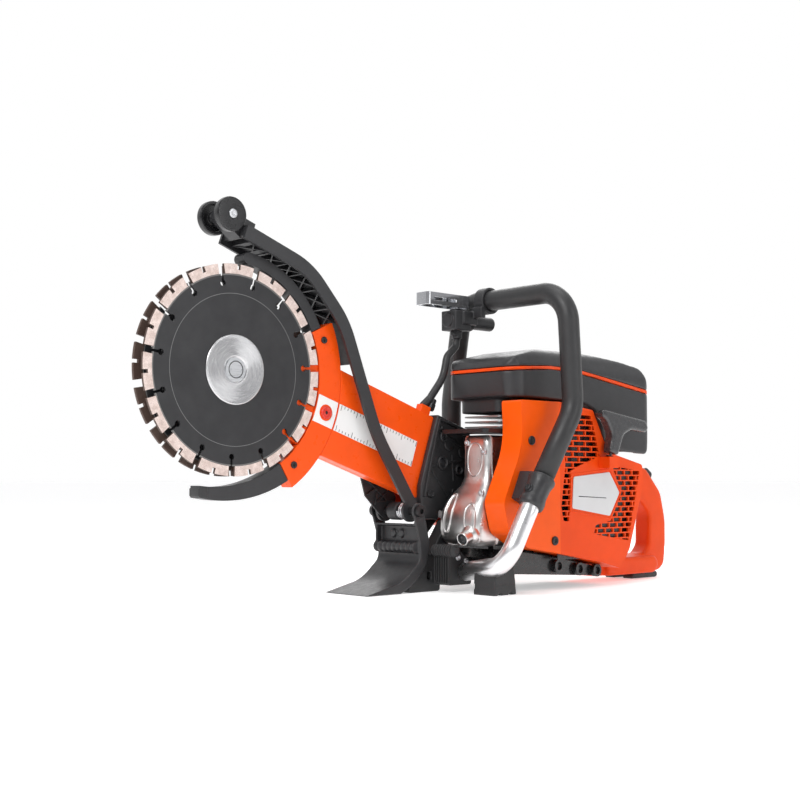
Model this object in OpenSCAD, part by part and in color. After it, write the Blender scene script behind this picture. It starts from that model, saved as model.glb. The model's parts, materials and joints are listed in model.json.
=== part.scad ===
// Twin-blade petrol rescue saw with a long cutting arm.
// Every module draws in the saw's own frame: the blade axis crosses X = 0, Y = 0, and the ground is Z = 0.
// +X points to the blades, +Y to the starter side. saw() then moves the piece so that the origin is the
// middle of the whole saw's base.

/* [Blades] */
// Diameter of each blade over its segments
blade_d = 230; // [228:1:231]
// Height of the blade axis over the ground
axle_h = 252; // [250:1:254]
// Number of diamond segments on a blade
segment_count = 15; // [12:1:16]
// Radial height of a segment
segment_h = 11; // [9:0.5:12]
// Thickness of a blade's core
core_t = 2.4; // [2:0.1:2.4]
// Distance from the arm's middle to a core's inner face
core_gap = 7.8; // [7.6:0.1:8]
// Thickness of a segment
segment_t = 3.6; // [3:0.1:3.8]
// Diameter of a turned hub flange
flange_d = 76.6; // [70:0.1:80]
// Radius of the arbor in its bearings
arbor_r = 6; // [5.5:0.1:6]

/* [Arm] */
// Slope of the arm, down to the rear
arm_drop = 18.5; // [18:0.1:19]
// Distance from the blade axis to the jackshaft
arm_len = 330; // [328:1:332]
// Thickness of the arm
arm_t = 19; // [18:0.5:19]
// Thickness of the tongue between the blades
tongue_t = 14; // [13.6:0.1:14]
// Height of the arm's top edge over its middle line
arm_up = 55.5; // [54:0.5:56]
// Depth of the arm's bottom edge under its middle line
arm_down = 48; // [47:0.5:49]
// Outer radius of the crescent guard
crescent_r = 150; // [148:0.5:151]
// Radius of both belt pulleys of the arm
arm_pulley_r = 22; // [21:0.5:22]

/* [Splash guards] */
// Pivot of the guards behind the blade axis
pivot_x = 247; // [245:1:249]
// Height of the pivot over the ground
pivot_h = 96; // [95:1:97]
// Half the width over the guard's walls
guard_half_w = 24.5; // [24:0.5:25]
// Depth of the guard's walls
wall_depth = 16; // [14:0.5:17]
// Radius of a guard wheel
wheel_r = 19; // [18:0.5:20]
// Half the width of the splash shoe
shoe_half_w = 38; // [37:0.5:39]

/* [Engine] */
// Crank axis behind the blade axis
crank_x = 430; // [429:1:431]
// Height of the crank axis over the ground
crank_h = 118; // [117:1:119]
// Middle of the cylinder from the arm's middle
cylinder_y = 48; // [47:1:49]
// Starter cover's outer face from the arm's middle
cover_y = 130; // [129:1:131]
// Rear end of the saw behind the blade axis
rear_x = 693; // [690:1:696]

/* [Front handle] */
// Diameter of the handle's tube
tube_d = 21; // [20:0.5:22]
// Diameter over the grip sleeve
grip_d = 25.6; // [25:0.1:26]
// Tube's middle on the starter side, from the arm's middle
handle_near_y = 158; // [156:1:160]
// Tube's middle on the belt side, from the arm's middle
handle_far_y = 60; // [59:1:62]

/* [Hidden] */
$fn = 72;

blade_r = blade_d / 2;
core_r = blade_r - segment_h;
core_y = core_gap + core_t;
grip_r = grip_d / 2;
// The saw's widest points set where the origin lies
clamp_r = 16.5;
near_side = handle_near_y + clamp_r;
far_side = handle_far_y + grip_r;
origin_x = (rear_x - blade_r) / 2;
origin_y = (far_side - near_side) / 2;
slot_w = 3;
keyhole_r = 3.4;
keyhole_at = core_r - 10;
segment_gap = 8;
spigot_r = 15;
run_gap = 0.05;
pivot_r = 5;
axle_r = 4;
crank_r = 7;
bolt_r = 4;
bearing_r = 10.5;
bearing_w = 4;
belt_t = 3;
belt_w = 4.8;
jack_x = -arm_len * cos(arm_drop);
jack_z = axle_h - arm_len * sin(arm_drop);
engine_pulley_r = 24;
engine_belt_y = -35;
belt_run = norm([crank_x + jack_x, jack_z - crank_h]);
belt_drop = atan2(jack_z - crank_h, crank_x + jack_x);
pull_turn = 25;
wheel_x = 12;
wheel_z = axle_h + 167;
filter_y0 = -4;
filter_y1 = 114.5;

// ---- Helpers ----

// Moves a piece from the blade axis to the saw's origin
module saw() translate([origin_x, origin_y, 0]) children();

// Extrudes an X-Z outline from y0 to y1
module slab(y0, y1) translate([0, y1, 0]) rotate([90, 0, 0]) linear_extrude(y1 - y0) children();

// Extrudes a Y-Z outline from x0 to x1
module bar_x(x0, x1) translate([x0, 0, 0]) rotate([90, 0, 90]) linear_extrude(x1 - x0) children();

// Extrudes an X-Y outline from z0 to z1
module plate_z(z0, z1) translate([0, 0, z0]) linear_extrude(z1 - z0) children();

// Turns a radius-Y profile about the Y axis through [x, z]
module turned(x = 0, z = axle_h) translate([x, 0, z]) rotate([-90, 0, 0]) rotate_extrude() children();

// Disc or pin about a Y axis through [x, z]
module pin_y(x, z, r, y0, y1) translate([x, y1, z]) rotate([90, 0, 0]) cylinder(r = r, h = y1 - y0);

// Children stand at the blade axis, with local X along the arm to the rear and local Y up
module on_arm() translate([0, axle_h]) rotate(180 + arm_drop) mirror([0, 1]) children();

// A round-ended bar from the origin along X
module stadium(length, r) {
    circle(r);
    translate([length, 0]) circle(r);
    translate([0, -r]) square([length, 2 * r]);
}

function unit(v) = v / norm(v);

// Arc that rounds the corner b between a and c with radius r
function corner(a, b, c, r, steps = 8) =
    let (u = unit(a - b), w = unit(c - b), half = acos(u * w) / 2,
        centre = b + unit(u + w) * r / sin(half))
    let (from = b + u * r / tan(half) - centre, to = b + w * r / tan(half) - centre)
    [for (i = [0:steps]) centre + r * unit(from * (1 - i / steps) + to * (i / steps))];

// Closed outline with each corner given as [x, y, radius]
function rounded(p) = let (n = len(p)) [for (i = [0:n - 1])
    let (a = p[(i + n - 1) % n], b = p[i], c = p[(i + 1) % n])
    each (b[2] > 0 ? corner([a.x, a.y], [b.x, b.y], [c.x, c.y], b[2]) : [[b.x, b.y]])];

// Open path with each inner corner given as [x, y, radius] or [x, y, z, radius]
function xyz(p) = len(p) == 4 ? [p[0], p[1], p[2]] : [p[0], p[1]];
function bent(p, steps = 8) = let (n = len(p)) [for (i = [0:n - 1])
    each (i == 0 || i == n - 1 || p[i][len(p[i]) - 1] == 0
        ? [xyz(p[i])]
        : corner(xyz(p[i - 1]), xyz(p[i]), xyz(p[i + 1]), p[i][len(p[i]) - 1], steps))];

// Band of width w along a flat path, to its left
function side_of(p, w) = let (n = len(p)) [for (i = [0:n - 1])
    let (d = unit(p[min(i + 1, n - 1)] - p[max(i - 1, 0)]))
    p[i] + w * [-d.y, d.x]];
function band(p, w) = concat(p, [for (i = [len(p) - 1:-1:0]) side_of(p, w)[i]]);

// Rings of a tube swept along a path in space
function heading(p, i) = unit(p[min(i + 1, len(p) - 1)] - p[max(i - 1, 0)]);
function across(d) = unit(cross(d, abs(d.z) < 0.8 ? [0, 0, 1] : [1, 0, 0]));
function ring(p, i, r, sides, side) = let (d = heading(p, i), u = side, v = cross(d, u))
    [for (k = [0:sides - 1]) p[i] + r * (cos(360 * k / sides) * u + sin(360 * k / sides) * v)];
function sides_along(p) = [for (i = 0, s = across(heading(p, 0)); i < len(p); i = i + 1,
    s = i < len(p) ? unit(s - (s * heading(p, i)) * heading(p, i)) : s) s];

// Solid tube of radius r along the path p
module sweep(p, r, sides = 16) {
    n = len(p);
    along = sides_along(p);
    points = [for (i = [0:n - 1]) each ring(p, i, r, sides, along[i])];
    walls = [for (i = [0:n - 2], k = [0:sides - 1])
        [i * sides + k, i * sides + (k + 1) % sides, (i + 1) * sides + (k + 1) % sides,
            (i + 1) * sides + k]];
    first = [for (k = [sides - 1:-1:0]) k];
    last = [for (k = [0:sides - 1]) (n - 1) * sides + k];
    polyhedron(points, concat([first, last], walls), convexity = 6);
}

// Hollow tube from r_in to r_out along the path p
module sweep_tube(p, r_out, r_in, sides = 16) {
    n = len(p);
    along = sides_along(p);
    outer = [for (i = [0:n - 1]) each ring(p, i, r_out, sides, along[i])];
    inner = [for (i = [0:n - 1]) each ring(p, i, r_in, sides, along[i])];
    m = n * sides;
    walls = [for (i = [0:n - 2], k = [0:sides - 1])
        [i * sides + k, i * sides + (k + 1) % sides, (i + 1) * sides + (k + 1) % sides,
            (i + 1) * sides + k]];
    bores = [for (w = walls) [m + w[3], m + w[2], m + w[1], m + w[0]]];
    starts = [for (k = [0:sides - 1]) [(k + 1) % sides, k, m + k, m + (k + 1) % sides]];
    e = (n - 1) * sides;
    ends = [for (k = [0:sides - 1]) [e + k, e + (k + 1) % sides, m + e + (k + 1) % sides, m + e + k]];
    polyhedron(concat(outer, inner), concat(walls, bores, starts, ends), convexity = 8);
}

// Hex socket screw about Y with its head's outer face at y, pointing to +Y
module screw_y(x, z, y, head_r, length) difference() {
    union() {
        pin_y(x, z, head_r, y - 2, y);
        pin_y(x, z, head_r / 2, y - length, y - 2);
    }
    translate([x, y + 1, z]) rotate([90, 0, 0]) cylinder(r = head_r / 2, h = 2.4, $fn = 6);
}

// ---- Cutting head ----

module around_blade(turn) for (i = [0:segment_count - 1]) rotate(turn + i * 360 / segment_count)
    children();

module core(turn) difference() {
    circle(core_r);
    circle(spigot_r);
    around_blade(turn) {
        translate([keyhole_at, -slot_w / 2]) square([segment_h + 4, slot_w]);
        translate([keyhole_at, 0]) circle(keyhole_r, $fn = 24);
    }
}

module segment_ring(turn) difference() {
    circle(blade_r);
    circle(core_r);
    around_blade(turn) translate([core_r - 2, -segment_gap / 2]) square([segment_h + 4, segment_gap]);
    around_blade(turn + 180 / segment_count) translate([core_r + 5, -2]) square([segment_h, 4]);
}

near_turn = 8;
far_turn = 14;

module near_blade() color([0.3, 0.3, 0.31]) saw() translate([0, 0, axle_h])
    slab(core_gap, core_y) core(near_turn);

module far_blade() color([0.3, 0.3, 0.31]) saw() translate([0, 0, axle_h])
    slab(-core_y, -core_gap) core(far_turn);

segment_y = (core_gap + core_y) / 2;
module diamond_segments() color([0.9, 0.81, 0.78]) saw() translate([0, 0, axle_h]) {
    slab(segment_y - segment_t / 2, segment_y + segment_t / 2) segment_ring(near_turn);
    slab(-segment_y - segment_t / 2, -segment_y + segment_t / 2) segment_ring(far_turn);
}

bolt_head_r = 12.9;
module flange_profile() polygon([
    [bolt_r + 0.1, core_gap], [spigot_r - 0.03, core_gap], [spigot_r - 0.03, core_y],
    [flange_d / 2, core_y], [flange_d / 2, core_y + 0.9], [flange_d / 2 - 1, core_y + 1.7],
    [bolt_head_r + 2, core_y + 1.2], [bolt_head_r + 0.9, core_y + 0.3], [bolt_r + 0.1, core_y + 0.3]
]);

module hub_flanges() color([0.8, 0.8, 0.8]) saw() {
    turned() flange_profile();
    mirror([0, 1, 0]) turned() flange_profile();
}

module blade_bolt() difference() {
    union() {
        pin_y(0, axle_h, bolt_head_r, core_y + 0.3, core_y + 1.7);
        pin_y(0, axle_h, bolt_r, 0.5, core_y + 0.3);
    }
    for (side = [-1, 1]) pin_y(side * 7, axle_h, 1.2, core_y + 0.6, core_y + 3);
}

module blade_bolts() color([0.75, 0.76, 0.78]) saw() {
    blade_bolt();
    mirror([0, 1, 0]) blade_bolt();
}

pulley_w = belt_w + 0.6;
module arbor() color("silver") saw() difference() {
    union() {
        pin_y(0, axle_h, arbor_r, -core_gap, core_gap);
        pin_y(0, axle_h, arm_pulley_r, -pulley_w / 2, pulley_w / 2);
    }
    pin_y(0, axle_h, bolt_r + run_gap, -core_gap - 1, core_gap + 1);
}

module bearing(x, z, y, w, r_in, r_out) difference() {
    pin_y(x, z, r_out, y, y + w);
    pin_y(x, z, r_in, y - 1, y + w + 1);
}

jack_r = 8;
jack_bearing_r = 16;
module bearings() color("gainsboro") saw() {
    bearing(0, axle_h, tongue_t / 2 - bearing_w, bearing_w, arbor_r + run_gap, bearing_r);
    bearing(0, axle_h, -tongue_t / 2, bearing_w, arbor_r + run_gap, bearing_r);
    bearing(jack_x, jack_z, 9, 5, jack_r + run_gap, jack_bearing_r);
    bearing(jack_x, jack_z, -17, 8, jack_r + run_gap, jack_bearing_r);
}

// ---- Arm ----

cavity_half = 3;
cavity_r = arm_pulley_r + belt_t + 2.5;
tongue_r = 32;
arm_end = 302;

module tongue_outline() on_arm() {
    circle(tongue_r);
    polygon([[0, tongue_r], [blade_r + 3, arm_up], [crescent_r + 20, arm_up], [crescent_r + 20, -arm_down],
        [blade_r + 3, -arm_down], [0, -tongue_r]]);
}

// The thick part of the arm starts behind the crescent
module arm_outline() difference() {
    on_arm() translate([60, -arm_down]) square([arm_end - 60, arm_up + arm_down]);
    translate([0, axle_h]) circle(crescent_r + 0.3);
}

module belt_cavity() on_arm() stadium(arm_len, cavity_r);

module arm_body() color([0.96, 0.34, 0.08]) saw() difference() {
    union() {
        slab(-cavity_half, tongue_t / 2) tongue_outline();
        slab(-cavity_half, arm_t / 2) arm_outline();
        slab(-cavity_half, tongue_t / 2) on_arm() translate([276, arm_up - 1]) square([16, 11.5]);
    }
    slab(-cavity_half - 1, cavity_half) belt_cavity();
    pin_y(0, axle_h, bearing_r, 0, tongue_t);
}

module arm_lid() color([0.96, 0.34, 0.08]) saw() difference() {
    union() {
        slab(-tongue_t / 2, -cavity_half) tongue_outline();
        slab(-arm_t / 2, -cavity_half) arm_outline();
    }
    pin_y(0, axle_h, bearing_r, -tongue_t, 0);
}

// Sector from angle a0 to a1 about the blade axis, reaching past radius r
module sector(a0, a1, r) translate([0, axle_h])
    polygon(concat([[0, 0]], [for (i = [0:8]) 1.3 * r * [cos(a0 + (a1 - a0) * i / 8),
        sin(a0 + (a1 - a0) * i / 8)]]));

module ring_sector(r_in, r_out, a0, a1) intersection() {
    translate([0, axle_h]) difference() {
        circle(r_out);
        circle(r_in);
    }
    sector(a0, a1, r_out);
}

arm_angle = 180 + arm_drop;
module crescent_guard() color([0.98, 0.36, 0.08]) saw() difference() {
    slab(-arm_t / 2, arm_t / 2) ring_sector(blade_r + 3, crescent_r, arm_angle - 43, arm_angle + 39.5);
    slab(-tongue_t / 2, tongue_t / 2) tongue_outline();
}

decal_t = 0.4;
decal_start = 118;
decal_end = 280;
module ruler_decal() color("whitesmoke") saw() slab(arm_t / 2, arm_t / 2 + decal_t) difference() {
    on_arm() translate([decal_start, -14.5]) square([decal_end - decal_start, 32]);
    translate([0, axle_h]) circle(blade_r + 4);
    translate([0, axle_h]) difference() {
        circle(crescent_r + 1.2);
        circle(crescent_r - 1.4);
    }
    on_arm() translate([134, 0.5]) circle(9.5);
}

// Round red screw that sets the belt's tension, on the crescent over the arm
module tension_screw() translate([0, arm_t / 2, 0]) difference() {
    slab(0, 2.4) on_arm() translate([134, 0.5]) circle(7.5);
    slab(1, 4) on_arm() translate([134, 0.5]) circle(3.4, $fn = 6);
}

module upper_kerf_arc() color([0.3, 0.3, 0.31]) saw()
    slab(-9, 9) {
        ring_sector(blade_r + 3, blade_r + 16.5, 98, arm_angle - 43.4);
        translate([0, axle_h]) rotate(98) translate([blade_r + 9.75, 0]) circle(6.2);
    }

// The lower arc opens towards its front end, so its two edges have centres of their own
module lower_arc_outline() difference() {
    translate([9, axle_h + 29]) circle(170);
    translate([23, axle_h + 29]) circle(155);
    translate([-300, axle_h - 60]) square([600, 400]);
    translate([43, 0]) square([300, 300]);
    sector(arm_angle - 100, arm_angle + 39.9, 240);
}

module lower_kerf_arc() color([0.3, 0.3, 0.31]) saw() slab(-9, 9) lower_arc_outline();

module belt_loop(r) difference() {
    stadium($belt_length, r + belt_t);
    stadium($belt_length, r + run_gap);
}

module drive_belts() color([0.12, 0.12, 0.12]) saw() {
    slab(-belt_w / 2, belt_w / 2) on_arm() let ($belt_length = arm_len) belt_loop(arm_pulley_r);
    slab(engine_belt_y - 4, engine_belt_y + 4) translate([jack_x, jack_z]) rotate(180 + belt_drop)
        let ($belt_length = belt_run) belt_loop(engine_pulley_r);
}

module screws() color("dimgray") saw() {
    tension_screw();
    screw_y(-124, 293, arm_t / 2 + 1.4, 4, 4);
    screw_y(-81, 150, arm_t / 2 + 1.4, 4, 4);
    screw_y(-302, 198, mount_y1 + 1.6, 4.5, 8);
    screw_y(-286, 116, mount_y1 + 1.6, 4.5, 8);
    screw_y(-344, 180, cover_y + 1.6, 5.5, 8);
    screw_y(-385, 60, cover_y + 1.6, 5.5, 8);
    mirror([0, 1, 0]) {
        screw_y(jack_x + 10, jack_z + 52, belt_guard_y + 1.6, 5, 8);
        screw_y(-crank_x - 10, crank_h - 52, belt_guard_y + 1.6, 5, 8);
        screw_y(jack_x - 50, jack_z - 62, belt_guard_y + 1.6, 5, 8);
    }
}

// ---- Splash guards ----

// Rear edge of the guard's walls, from the wheels down to the pivot
guard_path = [[-6, 409, 0], [-96, 377, 100], [-150, 318, 120], [-199, 192, 200], [-262, 98, 0]];
guard_curve = bent(guard_path);

module guard_wall_outline() difference() {
    union() {
        polygon(band(guard_curve, wall_depth));
        translate([-pivot_x, pivot_h]) circle(13);
    }
    translate([-pivot_x, pivot_h]) circle(pivot_r + run_gap);
}

// The stretch of the guard over the arm
module over_arm(depth) intersection() {
    polygon(band(guard_curve, depth));
    translate([-186, 268]) square([200, 160]);
}

// Neck between the two wheels, which carries their axle
module wheel_neck_outline() difference() {
    union() {
        translate([wheel_x, wheel_z]) circle(8);
        polygon([[-26, 414], [-22, 400], [-6, 396], [wheel_x + 7, wheel_z - 5],
            [wheel_x - 4, wheel_z + 7]]);
    }
    translate([wheel_x, wheel_z]) circle(axle_r + run_gap);
}

wall_t = 3.5;
wall_in = guard_half_w - wall_t;
rib_count = 8;
rib_depth = 11;
module guard_frame() color([0.28, 0.28, 0.29]) saw() {
    slab(wall_in, guard_half_w) guard_wall_outline();
    slab(-guard_half_w, -wall_in) guard_wall_outline();
    slab(-wall_in, wall_in) over_arm(3);
    slab(-wall_in, wall_in) intersection() {
        over_arm(rib_depth);
        union() {
            translate([-9, 380]) square([4, 40]);
            for (i = [1:rib_count]) translate(guard_curve[0] + i * [-15, -8 - i * 1.6])
                rotate(i % 2 == 0 ? 95 : 35)
                translate([-40, -1]) square([80, 2]);
        }
    }
    slab(-10, 10) wheel_neck_outline();
}

wheel_in = 12;
wheel_out = 20.3;
module wheel_profile() polygon([
    [axle_r, wheel_in], [7, wheel_in], [7, wheel_out - 4], [wheel_r - 4, wheel_out - 4],
    [wheel_r - 4, wheel_in], [wheel_r - 1, wheel_in], [wheel_r, wheel_in + 1], [wheel_r, wheel_out - 1],
    [wheel_r - 1, wheel_out], [axle_r, wheel_out]
]);

module guard_wheels() color([0.12, 0.12, 0.12]) saw() {
    turned(wheel_x, wheel_z) wheel_profile();
    mirror([0, 1, 0]) turned(wheel_x, wheel_z) wheel_profile();
}

module wheel_axle() color("silver") saw() {
    pin_y(wheel_x, wheel_z, axle_r, -wheel_out, wheel_out);
    for (side = [-1, 1]) difference() {
        pin_y(wheel_x, wheel_z, 5, side * (wheel_out + 1) - 1, side * (wheel_out + 1) + 1);
        pin_y(wheel_x, wheel_z, 2.2, side * (wheel_out + 2) - 1, side * (wheel_out + 2) + 1, $fn = 6);
    }
}

module pivot_bolt() color("silver") saw() {
    pin_y(-pivot_x, pivot_h, pivot_r, -shoe_half_w - 1, shoe_half_w + 1);
    difference() {
        pin_y(-pivot_x, pivot_h, 7, shoe_half_w + 1, shoe_half_w + 5);
        pin_y(-pivot_x, pivot_h, 3.4, shoe_half_w + 2, shoe_half_w + 6, $fn = 6);
    }
    pin_y(-pivot_x, pivot_h, 7, -shoe_half_w - 5, -shoe_half_w - 1);
}

// Front face of the shoe, from its roll down to the tip on the ground
shoe_path = [[-249, 60, 0], [-250, 38, 14], [-222, 14, 60], [-162, 0, 0]];
shoe_curve = bent(shoe_path);
shoe_t = 3.5;
flange_t = 3;
module shoe_flange_outline() difference() {
    union() {
        polygon(band(shoe_curve, -13));
        translate([-pivot_x, pivot_h]) circle(10);
        polygon([[-pivot_x - 9, pivot_h + 2], [-265, 60], [-265, 46], [-250, 46], [-249, 60],
            [-pivot_x + 8, pivot_h - 4]]);
    }
    translate([-pivot_x, pivot_h]) circle(pivot_r + run_gap);
    translate([-300, -50]) square([300, 50.4]);
}

flute_count = 17;
shoe_in = shoe_half_w - flange_t;
roll_r = 7;
module splash_shoe() color([0.3, 0.3, 0.31]) saw() {
    slab(-shoe_in, shoe_in) difference() {
        polygon(band(shoe_curve, -shoe_t));
        translate([-300, -50]) square([300, 50.4]);
    }
    slab(shoe_in, shoe_half_w) shoe_flange_outline();
    slab(-shoe_half_w, -shoe_in) shoe_flange_outline();
    // Fluted roll along the shoe's top edge
    for (i = [0:flute_count - 1]) let (w = 2 * shoe_in / flute_count, y = -shoe_in + i * w)
        pin_y(-246, 53, i % 2 == 0 ? roll_r : roll_r - 1, y, y + w);
    // Box between the flanges, with a lip on top and two bosses
    slab(-shoe_in, shoe_in) polygon([[-254, 56], [-251, 56], [-251, 78], [-243, 79], [-243, 81.5],
        [-254, 80.5]]);
    slab(-shoe_in, -shoe_in + 3) polygon([[-254, 56], [-243, 56], [-243, 81], [-254, 80]]);
    for (y = [-9, 5]) translate([-252, y, 69]) rotate([0, 90, 0]) cylinder(r = 4.5, h = 4);
}

spring_turns = 3;
spring_r = 9;
spring_wire = 1.2;
function spring_point(i, n) = [spring_r * cos(360 * spring_turns * i / n),
    spring_r * sin(360 * spring_turns * i / n),
    10 * i / n];
module guard_spring() color("dimgray") saw() translate([-pivot_x, 19.5, pivot_h]) rotate([90, 0, 0])
    sweep([for (i = [0:48]) spring_point(i, 48)], spring_wire, 8);

// ---- Drive ----

mount_y0 = -19;
mount_y1 = 18;
module mount_outline() difference() {
    union() {
        on_arm() polygon([[296, arm_up + 3], [296, -arm_down - 4], [368, -50], [372, 40],
            [352, arm_up + 3]]);
        polygon([[-272, 112], [-290, 100], [-340, 84], [-378, 84], [-378, 175], [-300, 190]]);
        polygon([[-257, 101], [-pivot_x + 6, pivot_h - 9], [-pivot_x - 8, pivot_h - 9], [-300, 85],
            [-300, 120], [-266, 124]]);
        translate([-pivot_x, pivot_h]) circle(11);
    }
    translate([-pivot_x, pivot_h]) circle(pivot_r + run_gap);
}

// Cast housing around the rear end of the arm, with a near wall that laps over the arm's side
module arm_mount() color([0.27, 0.27, 0.28]) saw() difference() {
    union() {
        slab(-8.5, 8.5) mount_outline();
        slab(mount_y0, mount_y1) difference() {
            mount_outline();
            translate([-270, 60]) square([60, 70]);
        }
    }
    // Seat of the arm and room for the belts
    slab(-arm_t / 2, arm_t / 2) on_arm() translate([0, -arm_down]) square([arm_end, arm_down + arm_up]);
    slab(-arm_t / 2, 8.9) on_arm() stadium(arm_len, cavity_r);
    slab(mount_y0 - 1, -arm_t / 2) on_arm() translate([0, -arm_down - 10]) square([arm_end + 4, 130]);
    pin_y(jack_x, jack_z, jack_bearing_r, 8.9, mount_y1 - 4);
    pin_y(jack_x, jack_z, jack_bearing_r, -17, -9);
    pin_y(jack_x, jack_z, jack_r + 1, -20, mount_y1 - 4);
    // Round sight holes in the near wall
    pin_y(-318, 178, 7, 13, mount_y1 + 1);
    pin_y(-342, 168, 6, 13, mount_y1 + 1);
}

module front_support() color([0.13, 0.13, 0.13]) saw() {
    slab(-33, 33) difference() {
        polygon(rounded([[-234, 0, 3], [-287, 0, 3], [-290, 44, 4], [-262, 44, 4], [-240, 22, 6]]));
        translate([-272, 14]) square([6, 10]);
    }
    slab(15, 33) polygon([[-271, 44], [-290, 44], [-330, 84], [-300, 84]]);
    slab(-24, -15) polygon([[-271, 44], [-290, 44], [-330, 84], [-300, 84]]);
    // Ribbed rubber block beside the foot
    slab(36, 60) polygon(rounded([[-276, 8, 3], [-314, 8, 3], [-314, 34, 10], [-296, 48, 6],
        [-276, 48, 5]]));
    slab(33, 36) polygon(rounded([[-278, 10, 2], [-312, 10, 2], [-312, 34, 8], [-296, 46, 4],
        [-278, 46, 4]]));
}

shaft_far = engine_belt_y - 6;
module jackshaft() color("silver") saw() {
    pin_y(jack_x, jack_z, jack_r, shaft_far, mount_y1 - 4.5);
    bearing(jack_x, jack_z, -pulley_w / 2, pulley_w, jack_r, arm_pulley_r);
    bearing(jack_x, jack_z, engine_belt_y - 4.4, 8.8, jack_r, engine_pulley_r);
}

belt_guard_y = 47;
belt_guard_in = 26;
guard_r = 60;
module engine_stadium(r) translate([jack_x, jack_z]) rotate(180 + belt_drop) stadium(belt_run, r);
module belt_guard() color([0.96, 0.36, 0.1]) saw() difference() {
    union() {
        difference() {
            slab(-belt_guard_y, -belt_guard_in) engine_stadium(guard_r);
            slab(3 - belt_guard_y, 1 - belt_guard_in) engine_stadium(guard_r - 3);
        }
        // Posts that carry the guard on the crankcase and on the arm's housing
        pin_y(-470, 141, 5, 3 - belt_guard_y, 12);
        pin_y(-400, 82, 5, 3 - belt_guard_y, 12);
        pin_y(-330, 190, 5, 3 - belt_guard_y, mount_y0);
    }
    for (i = [0:3]) translate([-crank_x + 20 - i * 12, -belt_guard_y - 1, crank_h - 22]) cube([5, 6, 44]);
}

drum_r = 36;
module clutch_drum() color("silver") saw() difference() {
    union() {
        pin_y(-crank_x, crank_h, drum_r, -16, 0);
        pin_y(-crank_x, crank_h, engine_pulley_r, engine_belt_y - 4.4, engine_belt_y + 4.4);
        pin_y(-crank_x, crank_h, 16, engine_belt_y + 4.4, -16);
    }
    pin_y(-crank_x, crank_h, drum_r - 3, -13, 1);
    pin_y(-crank_x, crank_h, crank_r + run_gap, -50, 1);
}

shoe_gap = 3;
module clutch_shoes() color("slategray") saw() slab(-12, -2) translate([-crank_x, crank_h]) difference() {
    circle(drum_r - 4);
    circle(crank_r);
    for (i = [0:2]) rotate(i * 120 + 20) translate([crank_r + 4, -shoe_gap / 2]) square([40, shoe_gap]);
}

// ---- Engine ----

module crankshaft() color("silver") saw() {
    pin_y(-crank_x, crank_h, crank_r, engine_belt_y - 6, 30);
    pin_y(-crank_x, crank_h, crank_r, 66, 102);
    for (y = [30, 56]) slab(y, y + 10) translate([-crank_x, crank_h]) difference() {
        circle(34);
        for (side = [-1, 1]) translate([side * 30, 22]) circle(16);
    }
    pin_y(-crank_x, crank_h + 20, 7, 40, 56);
}

module flywheel() color("darkgray") saw() difference() {
    union() {
        pin_y(-crank_x, crank_h, 54, 86, 89);
        pin_y(-crank_x, crank_h, 14, 89, 98);
        for (i = [0:17]) translate([-crank_x, 0, crank_h]) rotate([0, i * 20, 0]) translate([30, 89,
            -1]) cube([22, 8, 2]);
    }
    pin_y(-crank_x, crank_h, crank_r, 85, 99);
}

case_outline = [[-378, 64, 6], [-378, 172, 2], [-486, 172, 2], [-492, 140, 10], [-492, 64, 16]];
module crankcase_half(y0, y1, wall0, wall1) difference() {
    slab(y0, y1) polygon(rounded(case_outline));
    pin_y(-crank_x, crank_h, 37, y0 + wall0, y1 - wall1);
    pin_y(-crank_x, crank_h, crank_r + run_gap, y0 - 1, y1 + 1);
    translate([-crank_x, cylinder_y, crank_h]) cylinder(r = bore_r, h = 70);
}

bore_r = 25;
module crankcase_far() color([0.2, 0.2, 0.21]) saw() crankcase_half(12, cylinder_y, 12, -1);
module crankcase_near() color([0.2, 0.2, 0.21]) saw() crankcase_half(cylinder_y, 84, -1, 12);

fin_count = 6;
fin_pitch = 6.4;
module cylinder_fin(i) translate([0, 0, 178 + i * fin_pitch]) linear_extrude(1.8)
    polygon(rounded([[i < 2 ? -356 : -340, 20, 6], [i < 2 ? -356 : -340, 84, 6], [-476, 84, 6],
        [-476, 20, 6]]));

module engine_cylinder() color("silver") saw() difference() {
    union() {
        plate_z(172, 222) translate([-crank_x, cylinder_y]) circle(32.5);
        plate_z(172, 176) translate([-crank_x - 38, cylinder_y - 30]) square([76, 60]);
        for (i = [0:fin_count - 1]) cylinder_fin(i);
        translate([-470, 30, 200]) rotate([90, 0, 0]) linear_extrude(24) circle(8);
    }
    plate_z(171, 212) translate([-crank_x, cylinder_y]) circle(bore_r);
    translate([-crank_x, cylinder_y, 205]) linear_extrude(30) circle(5);
    pin_y(-470, 200, 4 + run_gap, 5, 20);
}

module piston() color("gainsboro") saw() difference() {
    plate_z(168, 196) translate([-crank_x, cylinder_y]) circle(bore_r - run_gap);
    plate_z(167, 192) translate([-crank_x, cylinder_y]) circle(bore_r - 4);
}

module spark_plug() color("white") saw() translate([-crank_x, cylinder_y, 0]) {
    plate_z(206, 222) circle(5 - run_gap);
    plate_z(222, 228) circle(10, $fn = 6);
    plate_z(228, 244) circle(4.5);
}

module heat_plate() color("dimgray") saw() difference() {
    plate_z(189.5, 194.5) polygon(rounded([[-300, 20, 6], [-300, 97, 6], [-338, 97, 2], [-338, 20, 2]]));
    translate([-306, 40, 180]) cube([4, 40, 30]);
}

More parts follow.
